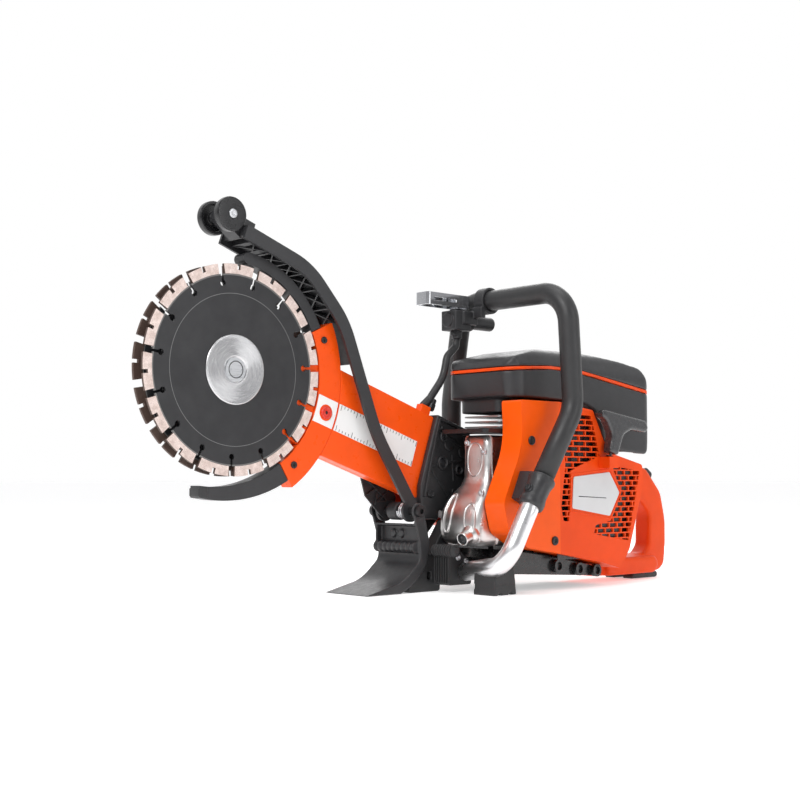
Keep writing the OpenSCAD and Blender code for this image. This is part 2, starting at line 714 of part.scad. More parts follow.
module muffler() color([0.85, 0.85, 0.84]) saw() difference() {
    union() {
        slab(34, 98) polygon(rounded([[-352, 126, 8], [-306, 126, 8], [-292, 108, 12], [-284, 84, 14],
            [-288, 60, 10], [-345, 56, 10]]));
        slab(47, 89) polygon(rounded([[-352, 188, 3], [-314, 188, 5], [-313, 150, 20], [-309, 128, 14],
            [-296, 112, 4], [-352, 112, 2]]));
        translate([-292, 84, 68.6]) rotate([0, 106, 0]) cylinder(r = 8, h = 21);
    }
    translate([-296, 84, 69.7]) rotate([0, 106, 0]) cylinder(r = 6.5, h = 40);
    slab(40, 92) polygon([[-346, 120], [-310, 120], [-297, 106], [-289, 84], [-292, 66], [-340, 62]]);
}

module carburettor() color("darkgray") saw() difference() {
    union() {
        translate([-546, 32, 178]) cube([36, 40, 34]);
        translate([-556, 52, 196]) rotate([0, 90, 0]) cylinder(r = 17, h = 56);
    }
    translate([-557, 52, 196]) rotate([0, 90, 0]) cylinder(r = 11, h = 58);
}

module air_filter() color("wheat") saw() difference() {
    plate_z(238.5, 262) polygon(rounded([[-370, 16, 10], [-370, 96, 10], [-540, 96, 10], [-540, 16, 10]]));
    plate_z(237, 256) polygon(rounded([[-388, 30, 6], [-388, 82, 6], [-522, 82, 6], [-522, 30, 6]]));
}

reel_r = 28;
post_r = 6;
module rope_reel() color("dimgray") saw() difference() {
    union() {
        pin_y(-crank_x, crank_h, reel_r, 106, 107.5);
        pin_y(-crank_x, crank_h, reel_r - 6, 107.5, 114.5);
        pin_y(-crank_x, crank_h, reel_r, 114.5, 116);
    }
    pin_y(-crank_x, crank_h, post_r + run_gap, 105, 117);
}

// T handle of the starter, and the direction of its rope
guide_x = -480;
guide_z = 158;
pull_y = cover_y + 9;
module along_pull() translate([guide_x, pull_y, guide_z]) rotate([0, -pull_turn, 0]) children();

module starter_handle() color([0.26, 0.26, 0.27]) saw() difference() {
    slab(pull_y - 6.5, pull_y + 6.5) polygon(rounded([[-459, 213, 4], [-463, 221, 4], [-550, 209, 6],
        [-555, 200, 4],
        [-550, 194, 4], [-519, 197, 10], [-503, 190, 12], [-491.5, 164, 3], [-474.5, 168, 3],
            [-481, 190, 12], [-470, 207, 8]]));
    along_pull() cylinder(r = 2, h = 38);
}

// ---- Covers ----

module cylinder_cover_outline() polygon(rounded([[-396, 228, 0], [-326, 228, 3], [-329, 175, 100],
    [-295, 107, 16],
    [-305, 71, 14], [-337, 53, 10], [-396, 44, 0]]));

module cylinder_cover() color([0.99, 0.45, 0.04]) saw() difference() {
    slab(99, cover_y) cylinder_cover_outline();
    slab(98, cover_y - 3) intersection() {
        offset(-3) cylinder_cover_outline();
        translate([-394, 0]) square([200, 300]);
    }
    slab(98, cover_y - 3) translate([-400, 50]) square([10, 172]);
}

cover_outline = [[-396, 228, 0], [-460, 220, 5], [-478, 188, 12], [-491, 168, 10], [-560, 153, 5],
    [-563, 130, 12],
    [-532, 46, 10], [-514, 21, 6], [-473, 31, 30], [-396, 44, 0]];
cover_inner = [[-390, 225, 0], [-458, 217, 3], [-475, 186, 10], [-489, 165, 8], [-557, 150, 3],
    [-560, 130, 10],
    [-529, 48, 8], [-512, 25, 4], [-473, 34, 30], [-390, 47, 0]];

// Rows of louvre slots, each row half a slot along from the next
slot_pitch_z = 6.6;
slot_high = 4.9;
slot_rib = 2;
module slot_rows(x0, x1, z0, z1, pitch) for (k = [0:floor((z1 - z0) / slot_pitch_z)],
    i = [0:ceil((x0 - x1) / pitch)])
    translate([x0 - (i + (k % 2) / 2) * pitch, z0 + k * slot_pitch_z]) square([pitch - slot_rib,
        slot_high]);

module grille() {
    intersection() {
        slot_rows(-396, -476, 83, 213, 24);
        polygon([[-403, 214], [-457, 213], [-473, 163], [-437, 152], [-416, 144], [-414, 98],
            [-412, 81], [-402, 84],
            [-398, 100], [-406, 150]]);
    }
    intersection() {
        slot_rows(-450, -556, 54, 150, 16);
        polygon([[-497, 151], [-555, 145], [-530, 56], [-460, 66], [-464, 77], [-494, 82], [-516, 117]]);
    }
}

module starter_cover() color([0.96, 0.37, 0.16]) saw() difference() {
    union() {
        difference() {
            slab(86, cover_y) polygon(rounded(cover_outline));
            slab(85, cover_y - 3) polygon(rounded(cover_inner));
            slab(cover_y - 4, cover_y + 1) grille();
        }
        pin_y(-crank_x, crank_h, post_r, 104, cover_y - 3);
        translate([guide_x - 9, cover_y - 8, guide_z - 10]) cube([18, 25, 14]);
    }
    along_pull() translate([0, 0, -20]) cylinder(r = 3, h = 40);
}

module label_plate() color([0.85, 0.86, 0.88]) saw() slab(cover_y, cover_y + 0.8)
    polygon(rounded([[-421, 137, 3], [-491, 143, 3], [-511, 117, 3], [-491, 88, 3], [-418, 98.5, 3]]));

// Side outline of the whole filter hood
hood_side = [[-331, 233, 4], [-457, 231, 10], [-484, 222, 16], [-508, 172, 10], [-594, 166, 10],
    [-603, 215, 60],
    [-600, 260, 30], [-586, 281, 14], [-545, 288, 40], [-456, 298, 90], [-389, 295, 90],
        [-336, 282, 20], [-329, 268, 12]];
hood_front = [[filter_y0, 160, 0], [filter_y1, 160, 0], [filter_y1, 268, 30],
    [filter_y1 - 10, 293, 18], [55, 301, 90],
    [filter_y0 + 10, 293, 18], [filter_y0, 268, 30]];
hood_plan = [[-329, filter_y0, 24], [-329, filter_y1, 24], [-603, filter_y1, 14], [-603, filter_y0, 14]];

module hood() intersection() {
    slab(filter_y0, filter_y1) polygon(rounded(hood_side));
    bar_x(-604, -328) polygon(rounded(hood_front));
    plate_z(150, 310) polygon(rounded(hood_plan));
}

stripe_top = [[-320, 268.4], [-400, 273.4], [-452, 271.6], [-610, 249.6]];
stripe_h = 4;
module above_stripe(z) polygon(concat([for (q = stripe_top) q + [0, z]], [[-610, 320], [-320, 320]]));
module below_stripe(z) polygon(concat([for (q = stripe_top) q + [0, z]], [[-610, 100], [-320, 100]]));

module filter_cover() color([0.29, 0.29, 0.3]) saw() difference() {
    intersection() {
        hood();
        slab(-10, 130) above_stripe(0);
    }
    intersection() {
        plate_z(240, 285) polygon(rounded([[-337, 4, 18], [-337, 107, 18], [-584, 107, 22],
            [-584, 4, 22]]));
        bar_x(-590, -330) polygon([[4, 240], [107, 240], [107, 268], [96, 284], [14, 284], [4, 268]]);
        slab(-10, 130) polygon([[-330, 240], [-330, 270], [-345, 281], [-456, 290], [-540, 281],
            [-575, 270], [-584, 240]]);
    }
}

module filter_housing() color([0.24, 0.24, 0.25]) saw() difference() {
    union() {
        intersection() {
            hood();
            slab(-10, 130) below_stripe(-stripe_h);
        }
        plate_z(215, 234) polygon(rounded([[-340, 12, 12], [-340, 84, 12], [-482, 84, 8], [-482, 12, 8]]));
    }
    plate_z(237, 300) polygon(rounded([[-333, 0, 20], [-333, 111, 20], [-598, 111, 10], [-598, 0, 10]]));
    plate_z(150, 240) polygon(rounded([[-500, 0, 8], [-500, 111, 8], [-592, 111, 8], [-592, 0, 8]]));
    plate_z(210, 240) polygon(rounded([[-343, 15, 9], [-343, 81, 9], [-479, 81, 6], [-479, 15, 6]]));
}

module filter_stripe() color([0.98, 0.36, 0.12]) saw() difference() {
    intersection() {
        hood();
        slab(-10, 130) below_stripe(-0.1);
        slab(-10, 130) above_stripe(0.1 - stripe_h);
    }
    plate_z(234, 300) polygon(rounded([[-337, 4, 18], [-337, 107, 18], [-584, 107, 22], [-584, 4, 22]]));
}

// ---- Rear handle and controls ----

grip_y0 = 45;
grip_y1 = 71;
pocket_y0 = 51;
pocket_y1 = 65;
trigger_x = -598;
trigger_z = 122;
lock_x = -642;
lock_z = 128;
loop_outer = [[-545, 152, 6], [-600, 160, 30], [-650, 149, 24], [-683, 116, 30], [-rear_x, 78, 60],
    [-rear_x, 48, 60],
    [-689, 16, 12],
    [-676, 8, 8], [-560, 8, 0], [-545, 60, 0]];
loop_inner = [[-588, 112, 12], [-638, 104, 14], [-656, 88, 14], [-654, 44, 8], [-641, 32, 6],
    [-588, 32, 8]];
module rear_handle() color([0.97, 0.36, 0.12]) saw() difference() {
    union() {
        slab(grip_y0, grip_y1) polygon(rounded(loop_outer));
        slab(28, 84) polygon(rounded([[-500, 14, 4], [-520, 8, 4], [-566, 8, 4], [-562, 128, 8],
            [-500, 128, 8]]));
        slab(28, 92) polygon(rounded([[-536, 8, 4], [-640, 8, 6], [-650, 20, 8], [-640, 31, 3],
            [-536, 31, 3]]));
    }
    slab(grip_y0 - 1, grip_y1 + 1) polygon(rounded(loop_inner));
    // Fuel space, and the tank's neck on the belt side
    slab(32, 80) polygon(rounded([[-505, 18, 4], [-556, 14, 4], [-556, 122, 4], [-505, 122, 4]]));
    pin_y(-530, 86, 12, 20, 40);
    // Pockets of the trigger and the throttle lock
    translate([-634, pocket_y0, 96]) cube([42, pocket_y1 - pocket_y0, 38]);
    translate([-672, pocket_y0, 122]) cube([36, pocket_y1 - pocket_y0, 40]);
}

module throttle_trigger() color([0.15, 0.15, 0.15]) saw() difference() {
    union() {
        slab(pocket_y0 + 1, pocket_y1 - 1) polygon(rounded([[-594, 128, 3], [-594, 116, 5],
            [-612, 106, 10],
            [-624, 84, 3], [-630, 86, 3], [-624, 112, 14], [-602, 128, 6]]));
        pin_y(trigger_x, trigger_z, 2.5, pocket_y0 + 0.2, pocket_y1 - 0.2);
    }
}

module throttle_lock() color([0.15, 0.15, 0.15]) saw() {
    slab(pocket_y0 + 1, pocket_y1 - 1) polygon(rounded([[-638, 124, 3], [-646, 124, 3],
        [-668, 134, 4], [-672, 142, 4],
        [-656, 152, 8], [-640, 134, 6]]));
    pin_y(lock_x, lock_z, 2.5, pocket_y0 + 0.2, pocket_y1 - 0.2);
}

module stop_switch() color([0.75, 0.12, 0.08]) saw() difference() {
    slab(grip_y1 + 0.3, grip_y1 + 5) polygon(rounded([[-574, 138, 2], [-574, 146, 2], [-590, 147, 2],
        [-590, 139, 2]]));
    for (i = [0:2]) translate([-579 - i * 3, grip_y1 + 4, 136]) cube([1, 3, 14]);
}

module fuel_cap() color([0.15, 0.15, 0.15]) saw() difference() {
    union() {
        pin_y(-530, 86, 17, 16, 27.7);
        pin_y(-530, 86, 12 - run_gap, 27.7, 33);
    }
    for (i = [0:11]) translate([-530, 15, 86]) rotate([0, i * 30, 0]) translate([16, 0, -1.5]) cube([4,
        9, 3]);
}

module decompressor() color([0.2, 0.4, 0.8]) saw() {
    pin_y(-470, 200, 4, 2, 12);
    pin_y(-470, 200, 6.5, -2, 2);
}

// ---- Base and front handle ----

module underframe() color([0.12, 0.12, 0.12]) saw() {
    difference() {
        union() {
            slab(20, 110) polygon([[-322, 22], [-498, 12], [-498, 22], [-473, 27], [-396, 40],
                [-330, 50], [-318, 40]]);
            slab(30, 80) polygon([[-384, 30], [-484, 22], [-484, 64], [-384, 64]]);
            slab(-handle_far_y - 10, 20) polygon([[-385, 30], [-415, 30], [-415, 50], [-385, 50]]);
        }
        slab(30, 100) polygon([[-340, 10], [-480, 4], [-480, 20], [-340, 28]]);
    }
    for (q = [[-410, 28], [-450, 22.5], [-484, 19.5]]) difference() {
        pin_y(q.x, q.y, 8, 110, 116);
        pin_y(q.x, q.y, 5, 113, 117);
    }
}

foot_x = -298;
foot_y = 113;
module rubber_feet() color([0.1, 0.1, 0.1]) saw() {
    for (y = [30, 60]) slab(y, y + 16) polygon(rounded([[-606, 0, 2], [-668, 0, 4], [-664, 8, 0],
        [-610, 8, 0]]));
    // Foot of the front handle, with cheeks that hold the tube
    difference() {
        intersection() {
            slab(foot_y - 20, foot_y + 20) polygon([[foot_x - 19, 0], [foot_x - 17, 31],
                [foot_x + 17, 31], [foot_x + 19, 0]]);
            bar_x(foot_x - 20, foot_x + 20) polygon([[foot_y - 17, 0], [foot_y - 15, 31],
                [foot_y + 15, 31], [foot_y + 17, 0]]);
        }
        translate([foot_x - tube_r - 2.5, foot_y - 30, 16]) cube([2 * tube_r + 5, 60, 20]);
        for (x = [-12, 6]) translate([foot_x + x, foot_y - 30, -1]) cube([6, 60, 4]);
    }
}

tube_r = tube_d / 2;
handle_corners = [
    [-400, -handle_far_y, 50, 0], [-400, -handle_far_y, 236, 60], [-384, -22, 361, 40],
    [-378, handle_near_y, 360, 38], [-388, handle_near_y, 218, 50], [-305, handle_near_y, 96, 60],
    [-296, handle_near_y - 14, 30, 52], [-300, 62, 23, 0]
];
handle_route = bent(handle_corners);
clamp_turn = atan2(83, 122);
clamp_x = -323;
clamp_z = 122.5;
clamp_half = 20;
grip_route = bent([[-400, -handle_far_y, 110, 0], handle_corners[1], handle_corners[2], handle_corners[3],
    handle_corners[4], [-337.5, handle_near_y, 143.7, 0]]);

module handle_tube() color("silver") saw() sweep_tube(handle_route, tube_r, tube_r - 2);

module handle_grip() color([0.3, 0.3, 0.31]) saw() sweep_tube(grip_route, grip_r, tube_r + 0.15);

module handle_clamp() color([0.3, 0.3, 0.31]) saw() difference() {
    union() {
        translate([clamp_x, handle_near_y, clamp_z]) rotate([0, 180 - clamp_turn, 0])
            translate([0, 0, -clamp_half]) cylinder(r = clamp_r, h = 2 * clamp_half);
        slab(cover_y, handle_near_y) polygon(rounded([[-340, 132, 6], [-322, 104, 6], [-309, 112, 6],
            [-324, 144, 6]]));
    }
    translate([clamp_x, handle_near_y, clamp_z]) rotate([0, 180 - clamp_turn, 0])
        translate([0, 0, -40]) cylinder(r = tube_r + 0.15, h = 80);
}

valve_x = -350;
inlet_end = -412;
inlet_l = 36;
grip_at_valve = [-382.6, 360.8];
module valve_body() color([0.3, 0.3, 0.31]) saw() difference() {
    union() {
        translate([valve_x - 13, -13, 322]) cube([28, 26, 25]);
        translate([valve_x, 0, 347]) cylinder(r = 9, h = 2.5);
        translate([inlet_end, 0, 335]) rotate([0, 90, 0]) cylinder(r = 9, h = 80);
        translate([-374, 0, 335]) rotate([0, 90, 0]) cylinder(r = 12, h = 12);
        translate([valve_x, 0, 312]) cylinder(r = 7, h = 12, $fn = 6);
        pin_y(grip_at_valve.x, grip_at_valve.y, 17, 14, 30);
        translate([-372, 10, 338]) cube([8, 20, 14]);
        translate([-372, 8, 330]) cube([24, 8, 16]);
    }
    pin_y(grip_at_valve.x, grip_at_valve.y, grip_r + 0.4, 9, 39);
    translate([valve_x, 0, 330]) cylinder(r = 4 + run_gap, h = 30);
    translate([inlet_end - 1, 0, 335]) rotate([0, 90, 0]) cylinder(r = 6, h = inlet_l + 1);
}

// Folded sheet lever: a top, and two sides with a long slot
lever_w = 24;
lever_t = 2;
lever_z0 = 350.5;
lever_z1 = 366;
lever_front = -288;
module lever_plan(inset) polygon(rounded([[valve_x - 14 + inset, inset - lever_w / 2, 5],
    [valve_x - 14 + inset, lever_w / 2 - inset, 5],
    [lever_front - inset, lever_w / 2 - inset, 4], [lever_front - inset, inset - lever_w / 2, 4]]));
module valve_lever() color([0.85, 0.85, 0.85]) saw() {
    translate([valve_x, 0, 332]) cylinder(r = 4, h = lever_z1 - 333);
    difference() {
        plate_z(lever_z0, lever_z1) lever_plan(0);
        plate_z(lever_z0 - 1, lever_z1 - lever_t) lever_plan(lever_t);
        slab(-lever_w, lever_w) translate([-336, 358]) stadium(36, 2.2);
        plate_z(lever_z1 - 3, lever_z1 + 1) translate([-330, 0]) stadium(30, 3);
    }
}

hose_route = bent([[valve_x, 0, 312, 0], [valve_x + 2, 0, 302, 10], [-332, 0, 288, 16], [-326, 0, 262, 50],
    [-303, 0, 235, 14], [-290.2, 0, 224.8, 0]]);
module water_hose() color([0.25, 0.25, 0.26]) saw() sweep(hose_route, 4.8, 12);

near_blade();
far_blade();
diamond_segments();
hub_flanges();
blade_bolts();
arbor();
bearings();
arm_body();
arm_lid();
crescent_guard();
ruler_decal();
upper_kerf_arc();
lower_kerf_arc();
drive_belts();
screws();
guard_frame();
guard_wheels();
wheel_axle();
pivot_bolt();
splash_shoe();
guard_spring();
arm_mount();
front_support();
jackshaft();
belt_guard();
clutch_drum();
clutch_shoes();
crankshaft();
flywheel();
crankcase_near();
crankcase_far();
engine_cylinder();
piston();
spark_plug();
heat_plate();
muffler();
carburettor();
air_filter();
rope_reel();
starter_handle();
cylinder_cover();
starter_cover();
label_plate();
filter_housing();
filter_cover();
filter_stripe();
rear_handle();
throttle_trigger();
throttle_lock();
stop_switch();
fuel_cap();
decompressor();
underframe();
rubber_feet();
handle_tube();
handle_grip();
handle_clamp();
valve_body();
valve_lever();
water_hose();
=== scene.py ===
"""Looks of the twin-blade rescue saw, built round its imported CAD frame.

Places are given in millimetres from the blade axis: +X to the front, +Y to the starter side and Z over
the ground. at() turns them into the row frame, which the boxes of the two blades fix.
"""

import json
import math

import bpy
from mathutils import Matrix, Vector

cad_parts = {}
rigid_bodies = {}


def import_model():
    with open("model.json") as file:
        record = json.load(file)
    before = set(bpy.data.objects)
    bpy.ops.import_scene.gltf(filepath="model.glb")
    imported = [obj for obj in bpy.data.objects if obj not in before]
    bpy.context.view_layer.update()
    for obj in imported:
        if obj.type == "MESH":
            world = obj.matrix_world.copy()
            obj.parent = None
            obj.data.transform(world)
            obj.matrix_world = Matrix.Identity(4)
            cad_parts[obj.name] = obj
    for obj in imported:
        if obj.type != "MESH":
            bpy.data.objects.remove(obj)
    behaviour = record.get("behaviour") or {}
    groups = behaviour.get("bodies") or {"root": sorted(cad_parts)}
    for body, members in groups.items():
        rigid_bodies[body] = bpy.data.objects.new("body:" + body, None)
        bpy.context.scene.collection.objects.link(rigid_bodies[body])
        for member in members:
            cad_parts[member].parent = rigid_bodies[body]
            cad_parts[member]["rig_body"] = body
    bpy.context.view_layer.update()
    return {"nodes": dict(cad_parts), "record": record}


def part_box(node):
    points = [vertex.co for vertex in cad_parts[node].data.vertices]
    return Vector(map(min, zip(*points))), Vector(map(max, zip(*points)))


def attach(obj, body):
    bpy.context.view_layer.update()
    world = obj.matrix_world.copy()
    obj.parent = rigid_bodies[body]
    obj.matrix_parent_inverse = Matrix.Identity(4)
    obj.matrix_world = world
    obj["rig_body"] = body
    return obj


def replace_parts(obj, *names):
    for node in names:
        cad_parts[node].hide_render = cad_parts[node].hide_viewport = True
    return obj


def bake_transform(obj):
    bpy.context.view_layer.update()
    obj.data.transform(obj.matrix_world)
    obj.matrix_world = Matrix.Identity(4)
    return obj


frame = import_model()
nodes = frame["nodes"]

MM = 0.001
blade_low, blade_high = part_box("near_blade")
far_low, far_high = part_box("far_blade")
AXIS_X = (blade_low.x + blade_high.x) / 2
AXIS_Z = (blade_low.z + blade_high.z) / 2
MIDDLE_Y = (far_low.y + blade_high.y) / 2


def at(x, y, z):
    """A point in the row frame, from millimetres in the saw's own frame."""
    return Vector((AXIS_X + x * MM, MIDDLE_Y + y * MM, z * MM))


# Planes and axes that several pieces share, as the CAD frame has them
ARM_T = 19  # the arm's thickness, half on each side of Y = 0
ARM_DROP = math.radians(18.5)
ARM_DECAL_T = 0.4
MOUNT_Y = 18  # near face of the cast mount
COVER_Y = 130  # near face of the starter cover
BELT_GUARD_Y = -47  # far face of the belt guard
HANDLE_Y = 158  # the handle's near leg
JACK_X, JACK_Z = -312.95, 147.29
CRANK_X, CRANK_Z = -430, 118
TOWARD = (0, 1, 0)  # out of every near face

# ---- Camera, light and floor ----

CAMERA_PLACE = at(811, 1148.8, 134.3)
CAMERA_LOOK = Vector((-0.679, -0.734, 0)).normalized()
CAMERA_TILT = math.radians(3.504)
CAMERA_LENS = 58.05
CAMERA_SENSOR = 36
SWEEP = (1, 1, 1)
ROOM_DIM = (0.34, 0.34, 0.35)
SWEEP_EDGE = 0.35
LIGHTS = {
    # name: (place in metres, size in metres, watts)
    "key": ((2.0, 0.7, 1.7), (1.2, 0.9), 34),
    "side": ((-0.6, 2.1, 1.1), (0.7, 1.4), 9),
    "back": ((-1.4, -1.2, 1.4), (1.6, 0.8), 12),
    "top": ((0.1, 0.2, 2.2), (1.6, 0.9), 16),
}
LIGHTS_AIM = Vector((0, 0, 0.2))
FLOOR_SIZE = 120
FLOOR_GLOW = 0.42


def make_camera():
    data = bpy.data.cameras.new("view")
    data.sensor_width = CAMERA_SENSOR
    data.lens = CAMERA_LENS
    data.clip_start = 0.05
    camera = bpy.data.objects.new("view", data)
    bpy.context.scene.collection.objects.link(camera)
    look = CAMERA_LOOK * math.cos(CAMERA_TILT) + Vector((0, 0, math.sin(CAMERA_TILT)))
    camera.location = CAMERA_PLACE
    camera.rotation_euler = look.to_track_quat("-Z", "Y").to_euler()
    bpy.context.scene.camera = camera


def area_light(name, place, size, power):
    data = bpy.data.lights.new(name, "AREA")
    data.shape = "RECTANGLE"
    data.size, data.size_y = size
    data.energy = power
    lamp = bpy.data.objects.new(name, data)
    bpy.context.scene.collection.objects.link(lamp)
    lamp.location = place
    lamp.rotation_euler = (LIGHTS_AIM - Vector(place)).to_track_quat("-Z", "Y").to_euler()


def make_light():
    world = bpy.data.worlds.new("studio")
    bpy.context.scene.world = world
    world.use_nodes = True
    tree = world.node_tree
    background = tree.nodes["Background"]
    # A white sweep stands behind the saw, and a dimmer room on the other side
    direction = tree.nodes.new("ShaderNodeTexCoord").outputs["Generated"]
    toward = maths(tree, "DOT_PRODUCT", direction, CAMERA_LOOK, "Value")
    tree.links.new(ramp(tree, toward, ROOM_DIM, SWEEP, 0.0, SWEEP_EDGE), background.inputs["Color"])
    background.inputs["Strength"].default_value = 1.0
    for name, (place, size, power) in LIGHTS.items():
        area_light(name, place, size, power)
    bpy.context.scene.view_settings.view_transform = "Standard"


def make_floor():
    bpy.ops.mesh.primitive_plane_add(size=FLOOR_SIZE, location=(0, 0, 0))
    floor = bpy.context.object
    floor.name = "floor"
    paint = surface("floor_paint", (0.86, 0.86, 0.86), 0.7, mottle=0.01, grain=(60, 0.02))
    lit = paint.node_tree.nodes["Principled BSDF"]
    lit.inputs["Emission Color"].default_value = (1, 1, 1, 1)
    lit.inputs["Emission Strength"].default_value = FLOOR_GLOW
    floor.data.materials.append(paint)


# ---- Materials ----


def new_material(name):
    material = bpy.data.materials.new(name)
    material.use_nodes = True
    return material, material.node_tree, material.node_tree.nodes["Principled BSDF"]


def feed(tree, socket, value):
    """Links an output to the socket, or sets its constant."""
    if isinstance(value, bpy.types.NodeSocket):
        tree.links.new(value, socket)
    else:
        socket.default_value = value


def node(tree, kind, **inputs):
    """A shader node with its inputs set or linked, named as its sockets are."""
    made = tree.nodes.new(kind)
    for key, value in inputs.items():
        feed(tree, made.inputs[key.replace("_", " ")], value)
    return made


def maths(tree, operation, a, b, output=None):
    """A sum on numbers, or on vectors where output names the vector node's socket."""
    made = tree.nodes.new("ShaderNodeVectorMath" if output else "ShaderNodeMath")
    made.operation = operation
    feed(tree, made.inputs[0], a)
    feed(tree, made.inputs[1], b)
    return made.outputs[output or 0]


NOISE_ROUGHNESS = 0.55


def coordinates(tree):
    return tree.nodes.new("ShaderNodeTexCoord").outputs["Object"]


def noise(tree, scale, detail=3, vector=None):
    made = node(tree, "ShaderNodeTexNoise", Scale=scale, Detail=detail, Roughness=NOISE_ROUGHNESS)
    tree.links.new(vector or coordinates(tree), made.inputs["Vector"])
    return made.outputs["Fac"]


def ramp(tree, value, low, high, start=0.3, end=0.7):
    """Colours from low to high as value goes from start to end."""
    made = tree.nodes.new("ShaderNodeValToRGB")
    tree.links.new(value, made.inputs["Fac"])
    first, last = made.color_ramp.elements
    first.position, last.position = start, end
    first.color, last.color = (*low, 1), (*high, 1)
    return made.outputs["Color"]


def spread(tree, value, low, high):
    """Numbers from low to high over the middle of a noise's range."""
    made = node(tree, "ShaderNodeMapRange", From_Min=0.3, From_Max=0.7, To_Min=low, To_Max=high)
    tree.links.new(value, made.inputs["Value"])
    return made.outputs["Result"]


def bump(tree, height, strength, distance):
    made = node(tree, "ShaderNodeBump", Strength=strength, Distance=distance)
    tree.links.new(height, made.inputs["Height"])
    return made.outputs["Normal"]


def shade(color, factor):
    return tuple(min(1, c * factor) for c in color)


GRAIN_DEPTH = 0.0002
COAT_ROUGHNESS = 0.12


def surface(name, color, roughness, metallic=0, coat=0, grain=(2500, 0.15), mottle=0.06, patch=45,
            swing=0.06, shine=0.5):
    """A moulded, painted or cast surface: patches of tone, uneven gloss and a fine grain.

    grain is its scale and strength, mottle the share by which the tone varies and swing the gloss.
    """
    material, tree, shader = new_material(name)
    patches = noise(tree, patch)
    tone = ramp(tree, patches, shade(color, 1 - mottle), shade(color, 1 + mottle))
    tree.links.new(tone, shader.inputs["Base Color"])
    gloss = noise(tree, patch * 3.1)
    tree.links.new(spread(tree, gloss, roughness - swing, roughness + swing), shader.inputs["Roughness"])
    tree.links.new(bump(tree, noise(tree, grain[0]), grain[1], GRAIN_DEPTH), shader.inputs["Normal"])
    shader.inputs["Metallic"].default_value = metallic
    shader.inputs["Coat Weight"].default_value = coat
    shader.inputs["Coat Roughness"].default_value = COAT_ROUGHNESS
    shader.inputs["Specular IOR Level"].default_value = shine
    return material


def about_axis(tree, centre):
    """Distance from a Y axis through the point, in millimetres, and a vector for brush marks around it."""
    moved = maths(tree, "SUBTRACT", coordinates(tree), centre, "Vector")
    flat = maths(tree, "MULTIPLY", moved, (1 / MM, 0, 1 / MM), "Vector")
    length = node(tree, "ShaderNodeVectorMath")
    length.operation = "LENGTH"
    tree.links.new(flat, length.inputs[0])
    unit = node(tree, "ShaderNodeVectorMath")
    unit.operation = "NORMALIZE"
    tree.links.new(flat, unit.inputs[0])
    radius = length.outputs["Value"]
    rings = node(tree, "ShaderNodeCombineXYZ", Y=radius).outputs["Vector"]
    return radius, maths(tree, "ADD", unit.outputs["Vector"], rings, "Vector")


def between(tree, value, low, high):
    """1 where value is from low to high, else 0."""
    above = maths(tree, "GREATER_THAN", value, low)
    return maths(tree, "MULTIPLY", above, maths(tree, "LESS_THAN", value, high))


# Where a colour mix node keeps its colours
MIX_A, MIX_B, MIX_RESULT = 6, 7, 2


def mix(tree, factor, a, b, blend="MIX"):
    """Colour a where factor is 0 and b where it is 1."""
    made = tree.nodes.new("ShaderNodeMix")
    made.data_type = "RGBA"
    made.blend_type = blend
    feed(tree, made.inputs["Factor"], factor)
    for socket, value in ((made.inputs[MIX_A], a), (made.inputs[MIX_B], b)):
        feed(tree, socket, (*value, 1) if isinstance(value, tuple) else value)
    return made.outputs[MIX_RESULT]


BLADE_AXIS = (AXIS_X, MIDDLE_Y, AXIS_Z)
# Inner and outer radius in millimetres
BARE_RIM = (102.4, 110)
PRINTED_CIRCLE = (82.4, 83.0)
# How far out from between the blades a face lies at least, in metres, to keep the bond's colour; the rest
# get painted shade
OUTER_FACE = 0.004


def blade_steel():
    """Dark lacquered steel with ring-wise grinding marks, a bare rim and a thin printed circle."""
    material, tree, shader = new_material("blade_steel")
    radius, marks = about_axis(tree, BLADE_AXIS)
    lacquer = ramp(tree, noise(tree, 40), (0.016, 0.016, 0.018), (0.026, 0.026, 0.028))
    rim = between(tree, radius, *BARE_RIM)
    printed = between(tree, radius, *PRINTED_CIRCLE)
    color = mix(tree, printed, lacquer, (0.16, 0.16, 0.16))
    color = mix(tree, rim, color, (0.16, 0.155, 0.15))
    tree.links.new(color, shader.inputs["Base Color"])
    rings = noise(tree, 1.6, 4, marks)
    tree.links.new(spread(tree, rings, 0.34, 0.46), shader.inputs["Roughness"])
    tree.links.new(bump(tree, rings, 0.12, 0.00005), shader.inputs["Normal"])
    shader.inputs["Metallic"].default_value = 0.1
    return material


def turned_metal(name, color, roughness, centre=BLADE_AXIS):
    """Metal faced on a lathe: fine rings that draw the highlight out across them."""
    material, tree, shader = new_material(name)
    _, marks = about_axis(tree, centre)
    rings = noise(tree, 2.2, 5, marks)
    tree.links.new(ramp(tree, rings, shade(color, 0.9), shade(color, 1.04)), shader.inputs["Base Color"])
    tree.links.new(spread(tree, rings, roughness - 0.04, roughness + 0.05), shader.inputs["Roughness"])
    tree.links.new(bump(tree, rings, 0.08, 0.00004), shader.inputs["Normal"])
    around = tree.nodes.new("ShaderNodeTangent")
    around.axis = "Y"
    tree.links.new(around.outputs[0], shader.inputs["Tangent"])
    shader.inputs["Metallic"].default_value = 1
    shader.inputs["Anisotropic"].default_value = 0.85
    return material


